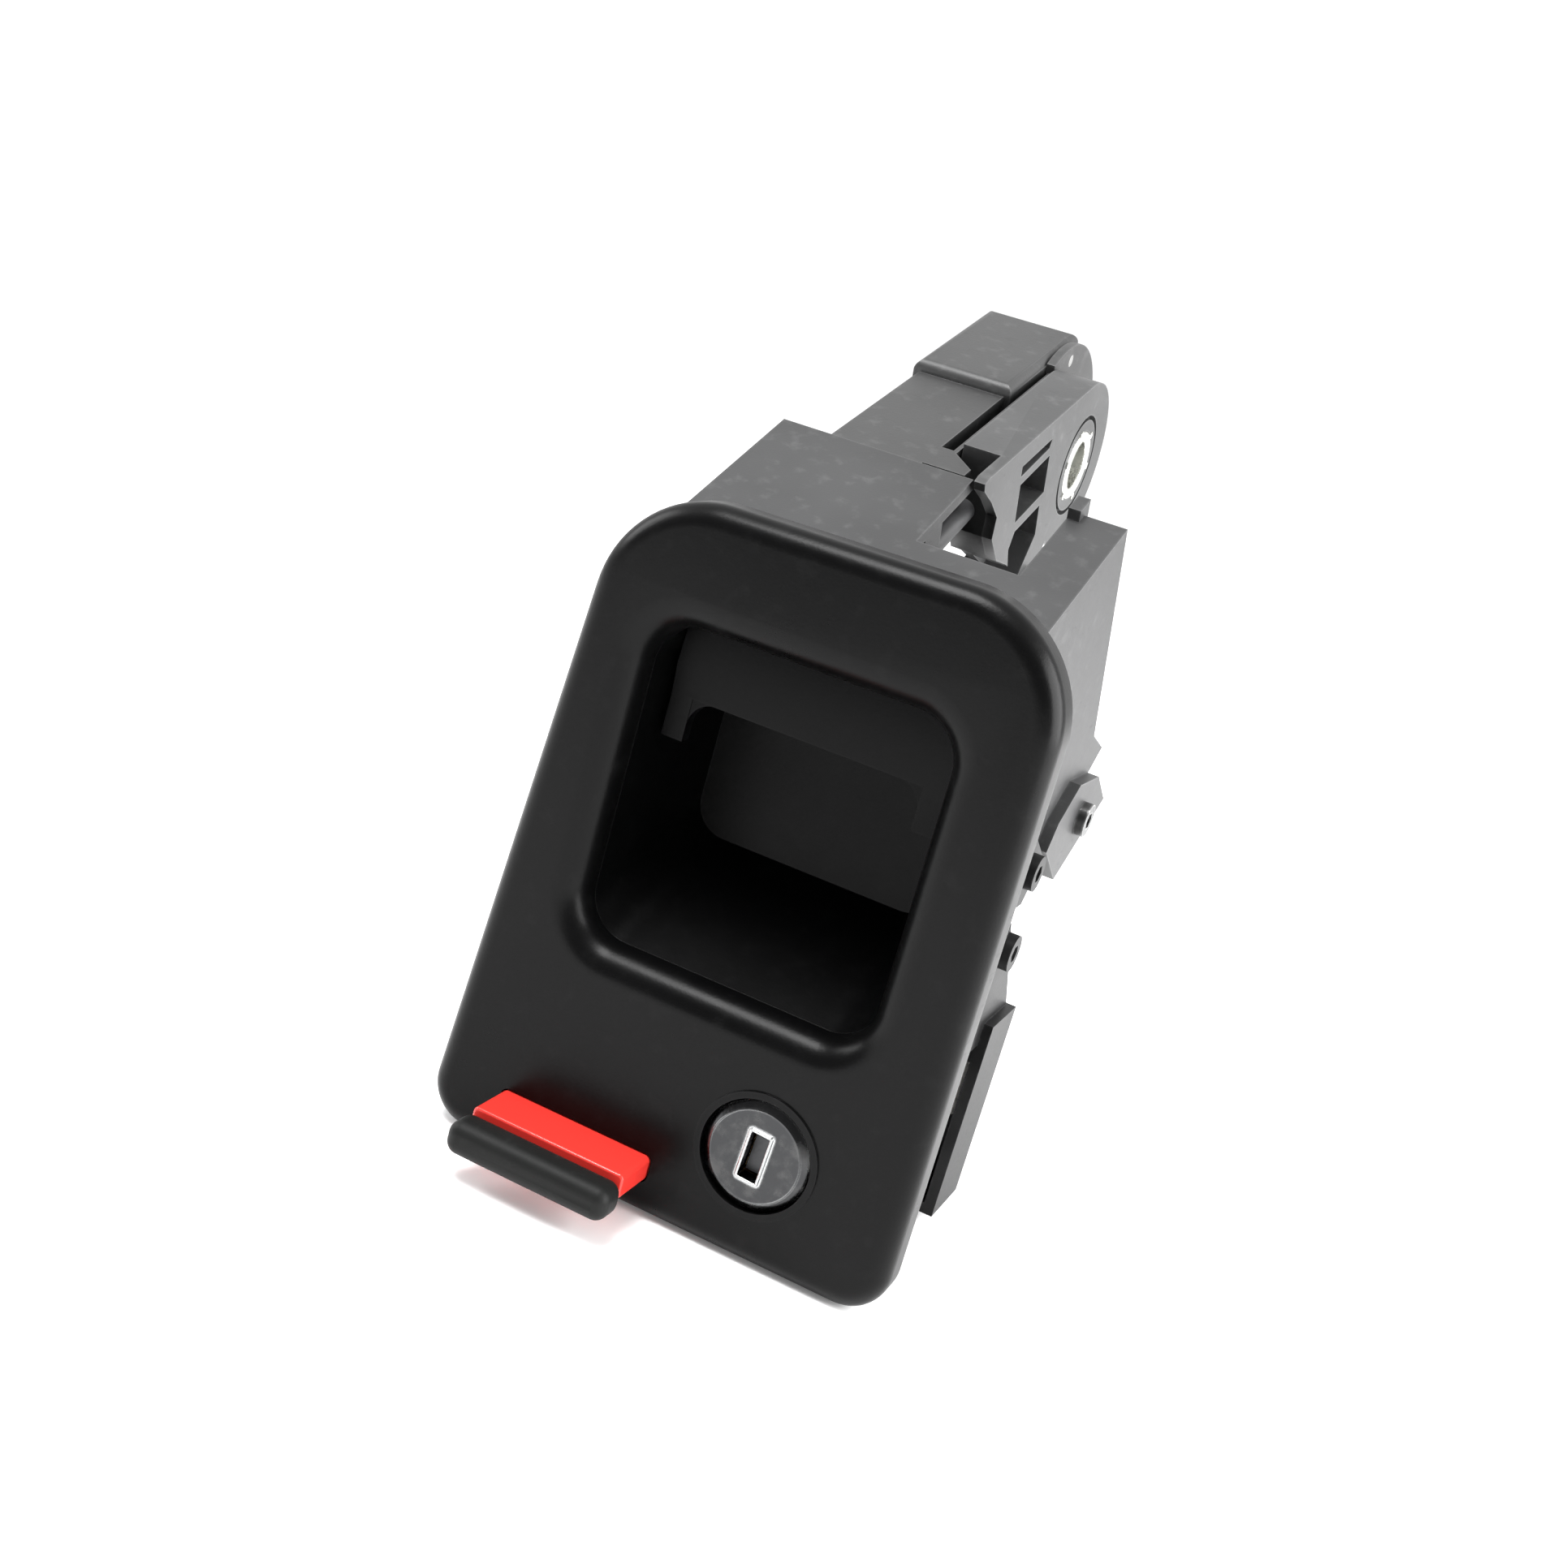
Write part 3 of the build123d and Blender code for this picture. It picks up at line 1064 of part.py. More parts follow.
with BuildPart() as tab_guide:
    with BuildSketch(front(GUIDE_REAR)):
        add(tab_plan.sketch)
        offset(amount=TAB_GAP + GUIDE_WALL)
    extrude(amount=GUIDE_REAR - SKIN_BACK)
    with BuildSketch(front(SKIN_BACK + GUIDE_FLANGE)):
        draw(rectangle(
            GUIDE_SCREWS[0][0] - SMALL_HEAD_RADIUS - 0.8,
            GUIDE_SCREWS[1][0] + SMALL_HEAD_RADIUS + 0.8,
            TAB_MID - SMALL_HEAD_RADIUS - 0.8,
            TAB_MID + SMALL_HEAD_RADIUS + 0.8,
        ))
    extrude(amount=GUIDE_FLANGE)
    with BuildSketch(front(GUIDE_REAR - GUIDE_END_WALL)):
        add(tab_plan.sketch)
        offset(amount=TAB_GAP)
    extrude(amount=GUIDE_REAR - GUIDE_END_WALL - SKIN_BACK, mode=Mode.SUBTRACT)
    with BuildSketch(front(SKIN_BACK + GUIDE_FLANGE)):
        with Locations(*GUIDE_SCREWS):
            Circle(SMALL_SCREW_RADIUS)
    extrude(amount=GUIDE_FLANGE, mode=Mode.SUBTRACT)

with BuildPart() as tab_spring:
    with BuildLine() as tab_coil:
        Helix(
            pitch=TAB_SPRING_LENGTH / TAB_SPRING_TURNS,
            height=TAB_SPRING_LENGTH,
            radius=TAB_SPRING_RADIUS,
            center=(TAB_SPRING_X, TAB_TAIL + TAB_SPRING_WIRE + TAB_SPRING_END, TAB_MID),
            direction=(0, 1, 0),
        )
    with BuildSketch(Plane(origin=tab_coil.line @ 0, z_dir=tab_coil.line % 0)):
        Circle(TAB_SPRING_WIRE)
    sweep(is_frenet=True)

# ---------------------------------------------------------------- screws
LARGE = (SCREW_RADIUS, SCREW_HEAD_RADIUS, SCREW_HEAD)
SMALL = (SMALL_SCREW_RADIUS, SMALL_HEAD_RADIUS, SMALL_HEAD)


def rear(x, y, z):
    """Plane at a point that faces +Y."""
    return Plane(origin=(x, y, z), x_dir=(1, 0, 0), z_dir=(0, 1, 0))


def outward(x, y, z):
    """Plane at a point that faces +X."""
    return Plane(origin=(x, y, z), x_dir=(0, 1, 0), z_dir=(1, 0, 0))


screw_sets = {
    "flange_screws": (
        LARGE,
        [rear(x, EAR_THICK, FLANGE_EAR_Z) for x in FLANGE_EARS],
        EAR_THICK - SKIN_BACK - 1,
    ),
    "yoke_screws": (
        LARGE,
        [rear_face(x, YOKE_SCREW_N).offset(LEVER_EAR) for x in YOKE_SCREWS],
        LEVER_EAR + HOUSING_WALL,
    ),
    "cover_screws": (
        LARGE,
        [rear_face(x, COVER_SCREW_N).offset(COVER_WALL) for x in COVER_SCREWS],
        COVER_WALL + HOUSING_WALL,
    ),
    "link_screws": (
        LARGE,
        [outward(WEB_LEFT + WEB_THICK, *LINK_SCREWS[0]), outward(WEB_LEFT, *LINK_SCREWS[1])],
        LINK_THICK + HOUSING_WALL,
    ),
    "lug_screw": (
        LARGE,
        [outward(HOUSING_RIGHT + LUG_OUT, *upright(*LUG_SCREW, HOUSING_TILT))],
        LUG_OUT + HOUSING_WALL,
    ),
    "barrel_screws": (
        SMALL,
        [rear(x, LOCK_FLANGE_Y + LOCK_FLANGE_THICK, z) for x, z in LOCK_EARS],
        LOCK_FLANGE_THICK + LOCK_SCREW_DEPTH - 1,
    ),
    "guide_screws": (
        SMALL,
        [rear(x, SKIN_BACK + GUIDE_FLANGE, z) for x, z in GUIDE_SCREWS],
        GUIDE_FLANGE + GUIDE_PILOT_DEPTH,
    ),
}
screws = {}
for node, ((shank, head_radius, head), seats, length) in screw_sets.items():
    with BuildPart() as screw_set:
        for seat in seats:
            with BuildSketch(seat):
                Circle(head_radius)
            extrude(amount=head)
            with BuildSketch(seat):
                Circle(shank)
            extrude(amount=-length)
            with BuildSketch(seat.offset(head)):
                RegularPolygon(radius=head_radius * 0.5, side_count=6)
            extrude(amount=-head * 0.6, mode=Mode.SUBTRACT)
    screws[node] = screw_set

# ---------------------------------------------------------------- files
os.makedirs("parts", exist_ok=True)
pieces = {
    "bezel": bezel,
    "flange_gasket": flange_gasket,
    "recess_pocket": recess_pocket,
    "rear_housing": rear_housing,
    "grip_paddle": grip_paddle,
    "paddle_pin": paddle_pin,
    "paddle_clips": paddle_clips,
    "paddle_spring": paddle_spring,
    "push_rod": push_rod,
    "output_lever": output_lever,
    "lever_bush": lever_bush,
    "lever_yoke": lever_yoke,
    "lever_pin": lever_pin,
    "lever_clips": lever_clips,
    "rear_cover": rear_cover,
    "cheek_plate": cheek_plate,
    "cheek_rivets": cheek_rivets,
    "plug_cap": plug_cap,
    "lock_plug": lock_plug,
    "lock_wafers": lock_wafers,
    "key_shutter": key_shutter,
    "lock_barrel": lock_barrel,
    "lock_cam": lock_cam,
    "cam_screw": cam_screw,
    "lock_rod": lock_rod,
    "cam_yoke": cam_yoke,
    "lock_cradle": lock_cradle,
    "cradle_link": cradle_link,
    "release_tab": release_tab,
    "tab_lip": tab_lip,
    "tab_guide": tab_guide,
    "tab_spring": tab_spring,
    **screws,
}
for node, piece in pieces.items():
    piece.part.label = node
    export_step(piece.part, f"parts/{node}.step")
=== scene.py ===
"""Lockable recessed pull-handle latch module: better meshes for its CAD nodes, finishes, studio and camera.

Everything is in metres in the packed frame: +X to the right, +Y into the panel, +Z up.
The bezel faces -Y. Each sub-assembly is a class that makes its pieces from the frame's nodes.
Each finish is a frozen dataclass.
"""
import json
import logging
from dataclasses import dataclass, field
from enum import Enum
from math import cos, pi, radians, sin
from typing import Any, ClassVar, Iterable

import bmesh
import bpy
from mathutils import Matrix, Vector


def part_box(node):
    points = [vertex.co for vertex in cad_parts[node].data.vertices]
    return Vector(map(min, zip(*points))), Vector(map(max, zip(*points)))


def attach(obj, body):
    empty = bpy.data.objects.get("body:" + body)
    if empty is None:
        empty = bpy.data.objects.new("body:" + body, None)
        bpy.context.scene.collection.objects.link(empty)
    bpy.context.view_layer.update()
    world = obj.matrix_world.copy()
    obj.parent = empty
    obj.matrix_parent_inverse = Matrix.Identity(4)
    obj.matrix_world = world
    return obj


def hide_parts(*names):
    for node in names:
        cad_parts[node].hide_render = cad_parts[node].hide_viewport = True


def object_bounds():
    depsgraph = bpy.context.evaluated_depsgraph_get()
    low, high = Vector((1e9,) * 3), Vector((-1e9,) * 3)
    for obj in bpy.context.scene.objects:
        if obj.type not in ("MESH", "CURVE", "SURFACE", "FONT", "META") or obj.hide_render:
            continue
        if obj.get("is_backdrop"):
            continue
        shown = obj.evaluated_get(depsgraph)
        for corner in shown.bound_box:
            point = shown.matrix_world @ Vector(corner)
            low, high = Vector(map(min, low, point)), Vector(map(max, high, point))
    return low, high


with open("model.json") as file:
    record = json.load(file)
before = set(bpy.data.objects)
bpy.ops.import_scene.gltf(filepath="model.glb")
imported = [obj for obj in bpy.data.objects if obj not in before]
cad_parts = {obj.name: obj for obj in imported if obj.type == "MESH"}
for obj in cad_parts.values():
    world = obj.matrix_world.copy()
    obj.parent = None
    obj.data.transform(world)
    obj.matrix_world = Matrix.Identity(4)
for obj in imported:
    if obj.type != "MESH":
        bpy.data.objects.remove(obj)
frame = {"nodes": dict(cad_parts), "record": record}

LOG = logging.getLogger("latch_module")
MM = 0.001
Triple = tuple[float, float, float]
Colour = Triple

WELD = 2e-6  # vertices this near are one, in metres
FLAT = 0.4  # faces that turn less than this become one, in degrees
ROUND_SEGMENTS = 2  # faces across each rounded edge
EDGE_SAMPLES = 4  # samples that find a worn edge
EDGE_START = 0.015  # how far a normal has turned where a worn edge starts
EDGE_FULL = 0.12  # how far it has turned where the edge is fully worn
CELL_SMOOTHNESS = 0.6
NEUTRAL = 0.5  # the mean of the cloudy noise
SENSOR_WIDTH = 36.0  # in millimetres


# ------------------------------------------------------------------------------------ shader expressions
@dataclass(frozen=True)
class Cloud:
    """One kind of cloudy noise, and the band of its values that a mask rises over.

    Attributes:
        size: the width of one blob, in metres.
        detail: octaves of finer noise.
        roughness: how strong the finer octaves are.
        start: the value where the mask starts.
        full: the value where the mask is full.
        stretch: how much the pattern is squeezed along each axis.
    """

    size: float
    detail: float
    roughness: float
    start: float = 0.0
    full: float = 1.0
    stretch: Triple = (1.0, 1.0, 1.0)


class Field:
    """A node socket that adds Math nodes when it is used in an expression."""

    def __init__(self, graph: "Graph", socket: bpy.types.NodeSocket) -> None:
        """Wraps a socket.

        Args:
            graph: the material's graph that new nodes go to.
            socket: the output socket that holds the value.
        """
        self.graph = graph
        self.socket = socket

    def math(self, operation: str, first: Any, second: Any = 0.0, clamp: bool = False) -> "Field":
        """Adds one Math node.

        Args:
            operation: the Math node's operation.
            first: its first value or link.
            second: its second value or link.
            clamp: whether the result is kept between 0 and 1.

        Returns:
            The node's result.
        """
        return self.graph.node(
            "ShaderNodeMath", {"operation": operation, "use_clamp": clamp}, {0: first, 1: second}
        )

    def __add__(self, other: Any) -> "Field":
        """Sum."""
        return self.math("ADD", self, other)

    def __radd__(self, other: Any) -> "Field":
        """Sum with a number on the left."""
        return self.math("ADD", other, self)

    def __sub__(self, other: Any) -> "Field":
        """Difference."""
        return self.math("SUBTRACT", self, other)

    def __rsub__(self, other: Any) -> "Field":
        """Difference from a number on the left."""
        return self.math("SUBTRACT", other, self)

    def __mul__(self, other: Any) -> "Field":
        """Product."""
        return self.math("MULTIPLY", self, other)

    def clamped(self) -> "Field":
        """The value kept between 0 and 1."""
        return self.math("ADD", self, 0.0, clamp=True)

    def between(self, low: float, high: float) -> "Field":
        """A mask that rises smoothly from 0 at low to 1 at high.

        Args:
            low: the value where the mask starts.
            high: the value where it is full.

        Returns:
            The mask.
        """
        return self.graph.node(
            "ShaderNodeMapRange",
            {"interpolation_type": "SMOOTHSTEP"},
            {"Value": self, "From Min": low, "From Max": high},
        )


class Graph:
    """One material's nodes, made through a single method."""

    def __init__(self, name: str) -> None:
        """Starts a material with an output and nothing else.

        Args:
            name: the material's name.
        """
        self.material = bpy.data.materials.new(name)
        self.material.use_nodes = True
        self.tree = self.material.node_tree
        self.tree.nodes.clear()
        self.places = self.node("ShaderNodeTexCoord", output="Object")

    def node(
        self,
        kind: str,
        settings: dict[str, Any] | None = None,
        inputs: dict[int | str, Any] | None = None,
        output: int | str = 0,
    ) -> Field:
        """Adds a node, its settings first and then its inputs.

        Args:
            kind: the node's type.
            settings: properties of the node.
            inputs: values or fields by socket name or number.
            output: which output to hand back.

        Returns:
            The chosen output as a field.
        """
        made = self.tree.nodes.new(kind)
        for key, value in (settings or {}).items():
            setattr(made, key, value)
        for key, value in (inputs or {}).items():
            if isinstance(value, Field):
                self.tree.links.new(value.socket, made.inputs[key])
            else:
                made.inputs[key].default_value = value
        return Field(self, made.outputs[output]) if len(made.outputs) else Field(self, None)

    def noise(self, cloud: Cloud) -> Field:
        """Cloudy noise in object space.

        Args:
            cloud: the kind of noise.

        Returns:
            A value about 0.5.
        """
        spread = self.node("ShaderNodeMapping", inputs={"Vector": self.places, "Scale": cloud.stretch})
        return self.node(
            "ShaderNodeTexNoise",
            inputs={
                "Vector": spread,
                "Scale": 1.0 / cloud.size,
                "Detail": cloud.detail,
                "Roughness": cloud.roughness,
            },
        )

    def mask(self, cloud: Cloud, noise: Field | None = None) -> Field:
        """The part of a cloudy noise that stands out.

        Args:
            cloud: the kind of noise.
            noise: that noise, where it has been made already.

        Returns:
            A mask that is 1 where the noise is strongest.
        """
        return (noise or self.noise(cloud)).between(cloud.start, cloud.full)

    def cells(self, size: float) -> Field:
        """Small rounded cells in object space, as a moulded grain has.

        Args:
            size: the width of one cell, in metres.

        Returns:
            The distance to the nearest cell's middle.
        """
        return self.node(
            "ShaderNodeTexVoronoi",
            {"feature": "SMOOTH_F1"},
            {"Vector": self.places, "Scale": 1.0 / size, "Smoothness": CELL_SMOOTHNESS},
        )

    def edges(self, radius: float) -> Field:
        """A mask of the outer edges that hands and tools rub.

        Args:
            radius: how far the worn band reaches, in metres.

        Returns:
            A mask that is 1 on an edge.
        """
        rounded = self.node("ShaderNodeBevel", {"samples": EDGE_SAMPLES}, {"Radius": radius})
        true = self.node("ShaderNodeNewGeometry", output="Normal")
        facing = self.node(
            "ShaderNodeVectorMath", {"operation": "DOT_PRODUCT"}, {0: rounded, 1: true}, output="Value"
        )
        return (1.0 - facing).between(EDGE_START, EDGE_FULL)

    def blend(self, mask: Any, first: Any, second: Any) -> Field:
        """Mixes two colours.

        Args:
            mask: 0 for the first colour and 1 for the second.
            first: a colour or a field.
            second: a colour or a field.

        Returns:
            The mixed colour.
        """
        return self.node(
            "ShaderNodeMix",
            {"data_type": "RGBA"},
            {0: mask, 6: self.rgba(first), 7: self.rgba(second)},
            output=2,
        )

    @staticmethod
    def rgba(colour: Any) -> Any:
        """A colour with its alpha, or the field unchanged."""
        return colour if isinstance(colour, Field) else (*colour, 1.0)

    def bump(self, height: Field, depth: float) -> Field:
        """A bumped normal.

        Args:
            height: the height pattern, 0 to 1.
            depth: the depth of a full step, in metres.

        Returns:
            The normal.
        """
        return self.node("ShaderNodeBump", inputs={"Strength": 1.0, "Distance": depth, "Height": height})

    def surface(self, **inputs: Any) -> None:
        """Ends the graph in a Principled shader.

        Args:
            inputs: socket names with underscores for spaces, with plain values or fields.
        """
        named = {key.replace("_", " "): value for key, value in inputs.items()}
        shader = self.node("ShaderNodeBsdfPrincipled", inputs=named)
        self.node("ShaderNodeOutputMaterial", inputs={"Surface": shader})


# ------------------------------------------------------------------------------------ finishes
@dataclass(frozen=True)
class Finish:
    """A finish that can be laid on any piece."""

    name: str
    colour: Colour

    def paint(self, graph: Graph) -> None:
        """Fills a material's graph."""
        raise NotImplementedError

    def material(self) -> bpy.types.Material:
        """The material, made once and then shared."""
        known = bpy.data.materials.get(self.name)
        if known:
            return known
        graph = Graph(self.name)
        self.paint(graph)
        graph.material.diffuse_color = (*self.colour, 1.0)
        return graph.material


@dataclass(frozen=True)
class Moulded(Finish):
    """Moulded plastic or rubber with a fine grain, a little handling polish and dust.

    Attributes:
        roughness: the mean roughness.
        grain: the width of one grain cell, in metres.
        relief: the depth of the grain, in metres.
        rub: how much lighter worn edges are.
        shine: specular level.
        coat: a thin clear gloss on top.
    """

    PATCH: ClassVar[Cloud] = Cloud(0.035, 3.0, 0.55, 0.35, 0.70)
    MOTTLE: ClassVar[Cloud] = Cloud(0.004, 4.0, 0.60, 0.52, 0.75)
    SCUFF: ClassVar[Cloud] = Cloud(0.006, 5.0, 0.65, 0.60, 0.74, (1.0, 1.0, 4.0))
    FLECK_SIZE: ClassVar[float] = 0.7
    EDGE_REACH: ClassVar[float] = 0.0007
    PATCH_SHADE: ClassVar[float] = 0.72
    MOTTLE_TINT: ClassVar[float] = 0.35
    EDGE_TINT: ClassVar[float] = 0.55
    PATCH_ROUGH: ClassVar[float] = 0.12
    MOTTLE_ROUGH: ClassVar[float] = 0.08
    EDGE_POLISH: ClassVar[float] = 0.08
    SCUFF_ROUGH: ClassVar[float] = 0.06
    GRAIN_HEIGHT: ClassVar[float] = 0.75
    FLECK_HEIGHT: ClassVar[float] = 0.25
    SCUFF_HEIGHT: ClassVar[float] = 0.10
    COAT_ROUGHNESS: ClassVar[float] = 0.18

    roughness: float = 0.42
    grain: float = 0.0005
    relief: float = 0.000012
    rub: float = 0.03
    shine: float = 0.5
    coat: float = 0.0

    def paint(self, graph: Graph) -> None:
        """Fills the graph with grain, soft patches, polish and worn edges."""
        patches = graph.noise(self.PATCH)
        mottle = graph.noise(self.MOTTLE)
        grain = graph.cells(self.grain)
        fleck = graph.noise(Cloud(self.grain * self.FLECK_SIZE, 2.0, 0.7))
        edge = graph.edges(self.EDGE_REACH)
        scuff = graph.mask(self.SCUFF)
        lighter = tuple(part + self.rub for part in self.colour)
        duller = tuple(part * self.PATCH_SHADE for part in self.colour)
        body = graph.blend(graph.mask(self.PATCH, patches), duller, self.colour)
        body = graph.blend(graph.mask(self.MOTTLE, mottle) * self.MOTTLE_TINT, body, lighter)
        body = graph.blend(edge * self.EDGE_TINT, body, lighter)
        rough = self.roughness + (patches - NEUTRAL) * self.PATCH_ROUGH
        rough = rough + (mottle - NEUTRAL) * self.MOTTLE_ROUGH - edge * self.EDGE_POLISH
        rough = rough + scuff * self.SCUFF_ROUGH
        height = grain * self.GRAIN_HEIGHT + fleck * self.FLECK_HEIGHT + scuff * self.SCUFF_HEIGHT
        graph.surface(
            Base_Color=body,
            Roughness=rough.clamped(),
            Specular_IOR_Level=self.shine,
            Coat_Weight=self.coat,
            Coat_Roughness=self.COAT_ROUGHNESS,
            Normal=graph.bump(height, self.relief),
        )


@dataclass(frozen=True)
class Coated(Finish):
    """Painted or coated metal: an even film with slight orange peel, and metal showing at rubbed edges.

    Attributes:
        roughness: the mean roughness.
        metal: the colour of the bare metal.
        chip: how much of it shows at the edges.
        shine: specular level.
    """

    PATCH: ClassVar[Cloud] = Cloud(0.025, 3.0, 0.55, 0.30, 0.72)
    PEEL: ClassVar[Cloud] = Cloud(0.0011, 2.0, 0.50)
    SPECK: ClassVar[Cloud] = Cloud(0.0006, 4.0, 0.65, 0.60, 0.75)
    CHIPS: ClassVar[Cloud] = Cloud(0.0022, 4.0, 0.70, 0.42, 0.62)
    EDGE_REACH: ClassVar[float] = 0.0006
    PALER: ClassVar[float] = 1.35
    PALER_BY: ClassVar[float] = 0.01
    SPECK_SHADE: ClassVar[float] = 0.6
    SPECK_TINT: ClassVar[float] = 0.3
    BARE_METAL: ClassVar[float] = 0.9
    PATCH_ROUGH: ClassVar[float] = 0.14
    SPECK_ROUGH: ClassVar[float] = 0.08
    PEEL_HEIGHT: ClassVar[float] = 0.8
    SPECK_HEIGHT: ClassVar[float] = 0.2
    RELIEF: ClassVar[float] = 0.000014

    roughness: float = 0.45
    metal: Colour = (0.52, 0.52, 0.53)
    chip: float = 0.25
    shine: float = 0.45

    def paint(self, graph: Graph) -> None:
        """Fills the graph with film, peel and rubbed edges."""
        patches = graph.noise(self.PATCH)
        peel = graph.noise(self.PEEL)
        speck = graph.noise(self.SPECK)
        edge = graph.edges(self.EDGE_REACH)
        broken = (edge * graph.mask(self.CHIPS) * self.chip).clamped()
        pale = tuple(min(1.0, part * self.PALER + self.PALER_BY) for part in self.colour)
        dark = tuple(part * self.SPECK_SHADE for part in self.colour)
        film = graph.blend(graph.mask(self.PATCH, patches), self.colour, pale)
        film = graph.blend(graph.mask(self.SPECK, speck) * self.SPECK_TINT, film, dark)
        rough = self.roughness + (patches - NEUTRAL) * self.PATCH_ROUGH
        rough = rough + (speck - NEUTRAL) * self.SPECK_ROUGH
        graph.surface(
            Base_Color=graph.blend(broken, film, self.metal),
            Metallic=(broken * self.BARE_METAL).clamped(),
            Roughness=rough.clamped(),
            Specular_IOR_Level=self.shine,
            Normal=graph.bump(peel * self.PEEL_HEIGHT + speck * self.SPECK_HEIGHT, self.RELIEF),
        )


@dataclass(frozen=True)
class Metal(Finish):
    """Bare or plated metal with fine tool lines, tarnish and handling marks.

    Attributes:
        roughness: the mean roughness.
        lines: how the fine lines are stretched along X, Y and Z.
        tarnish: the colour of the dull patches.
        patchy: how much of the surface they cover.
        polish: the colour of the edges that hands and keys keep bright, if they do.
    """

    TARNISH: ClassVar[Cloud] = Cloud(0.005, 5.0, 0.62, 0.45, 0.72)
    PITS: ClassVar[Cloud] = Cloud(0.0007, 3.0, 0.70, 0.64, 0.76)
    PIT_DULL: ClassVar[float] = 0.25
    EDGE_REACH: ClassVar[float] = 0.0009
    TOOL_ROUGH: ClassVar[float] = 0.16
    DULL_ROUGH: ClassVar[float] = 0.22
    TOOL_HEIGHT: ClassVar[float] = 0.6
    PIT_HEIGHT: ClassVar[float] = 0.4
    RELIEF: ClassVar[float] = 0.000008

    roughness: float = 0.28
    lines: Triple = (1.0, 1.0, 1.0)
    tarnish: Colour = (0.30, 0.29, 0.27)
    patchy: float = 0.35
    polish_and_highlight: Colour | None = None

    def paint(self, graph: Graph) -> None:
        """Fills the graph with lines, tarnish and small pits."""
        tool = graph.noise(Cloud(0.0005, 4.0, 0.65, stretch=self.lines))
        clouds = graph.mask(self.TARNISH)
        pits = graph.mask(self.PITS)
        dull = (clouds * self.patchy + pits * self.PIT_DULL).clamped()
        face = graph.blend(dull, self.colour, self.tarnish)
        # Bright edges: wear that hands and keys keep polished, and on the plug cap a painted highlight on
        # the rims of its face and key slot.
        if self.polish_and_highlight:
            face = graph.blend(graph.edges(self.EDGE_REACH).clamped(), face, self.polish_and_highlight)
        rough = self.roughness + (tool - NEUTRAL) * self.TOOL_ROUGH + dull * self.DULL_ROUGH
        graph.surface(
            Base_Color=face,
            Metallic=1.0,
            Roughness=rough.clamped(),
            Normal=graph.bump(tool * self.TOOL_HEIGHT + (1.0 - pits) * self.PIT_HEIGHT, self.RELIEF),
        )


@dataclass(frozen=True)
class Backdrop(Finish):
    """Plain white studio paper.

    Attributes:
        glow: how much light it gives off by itself.
    """

    ROUGHNESS: ClassVar[float] = 0.95
    SHINE: ClassVar[float] = 0.1

    glow: float = 0.12

    def paint(self, graph: Graph) -> None:
        """Fills the graph with an even matt white that glows a little, so that it stays white far away."""
        graph.surface(
            Base_Color=(*self.colour, 1.0),
            Roughness=self.ROUGHNESS,
            Specular_IOR_Level=self.SHINE,
            Emission_Color=(1.0, 1.0, 1.0, 1.0),
            Emission_Strength=self.glow,
        )


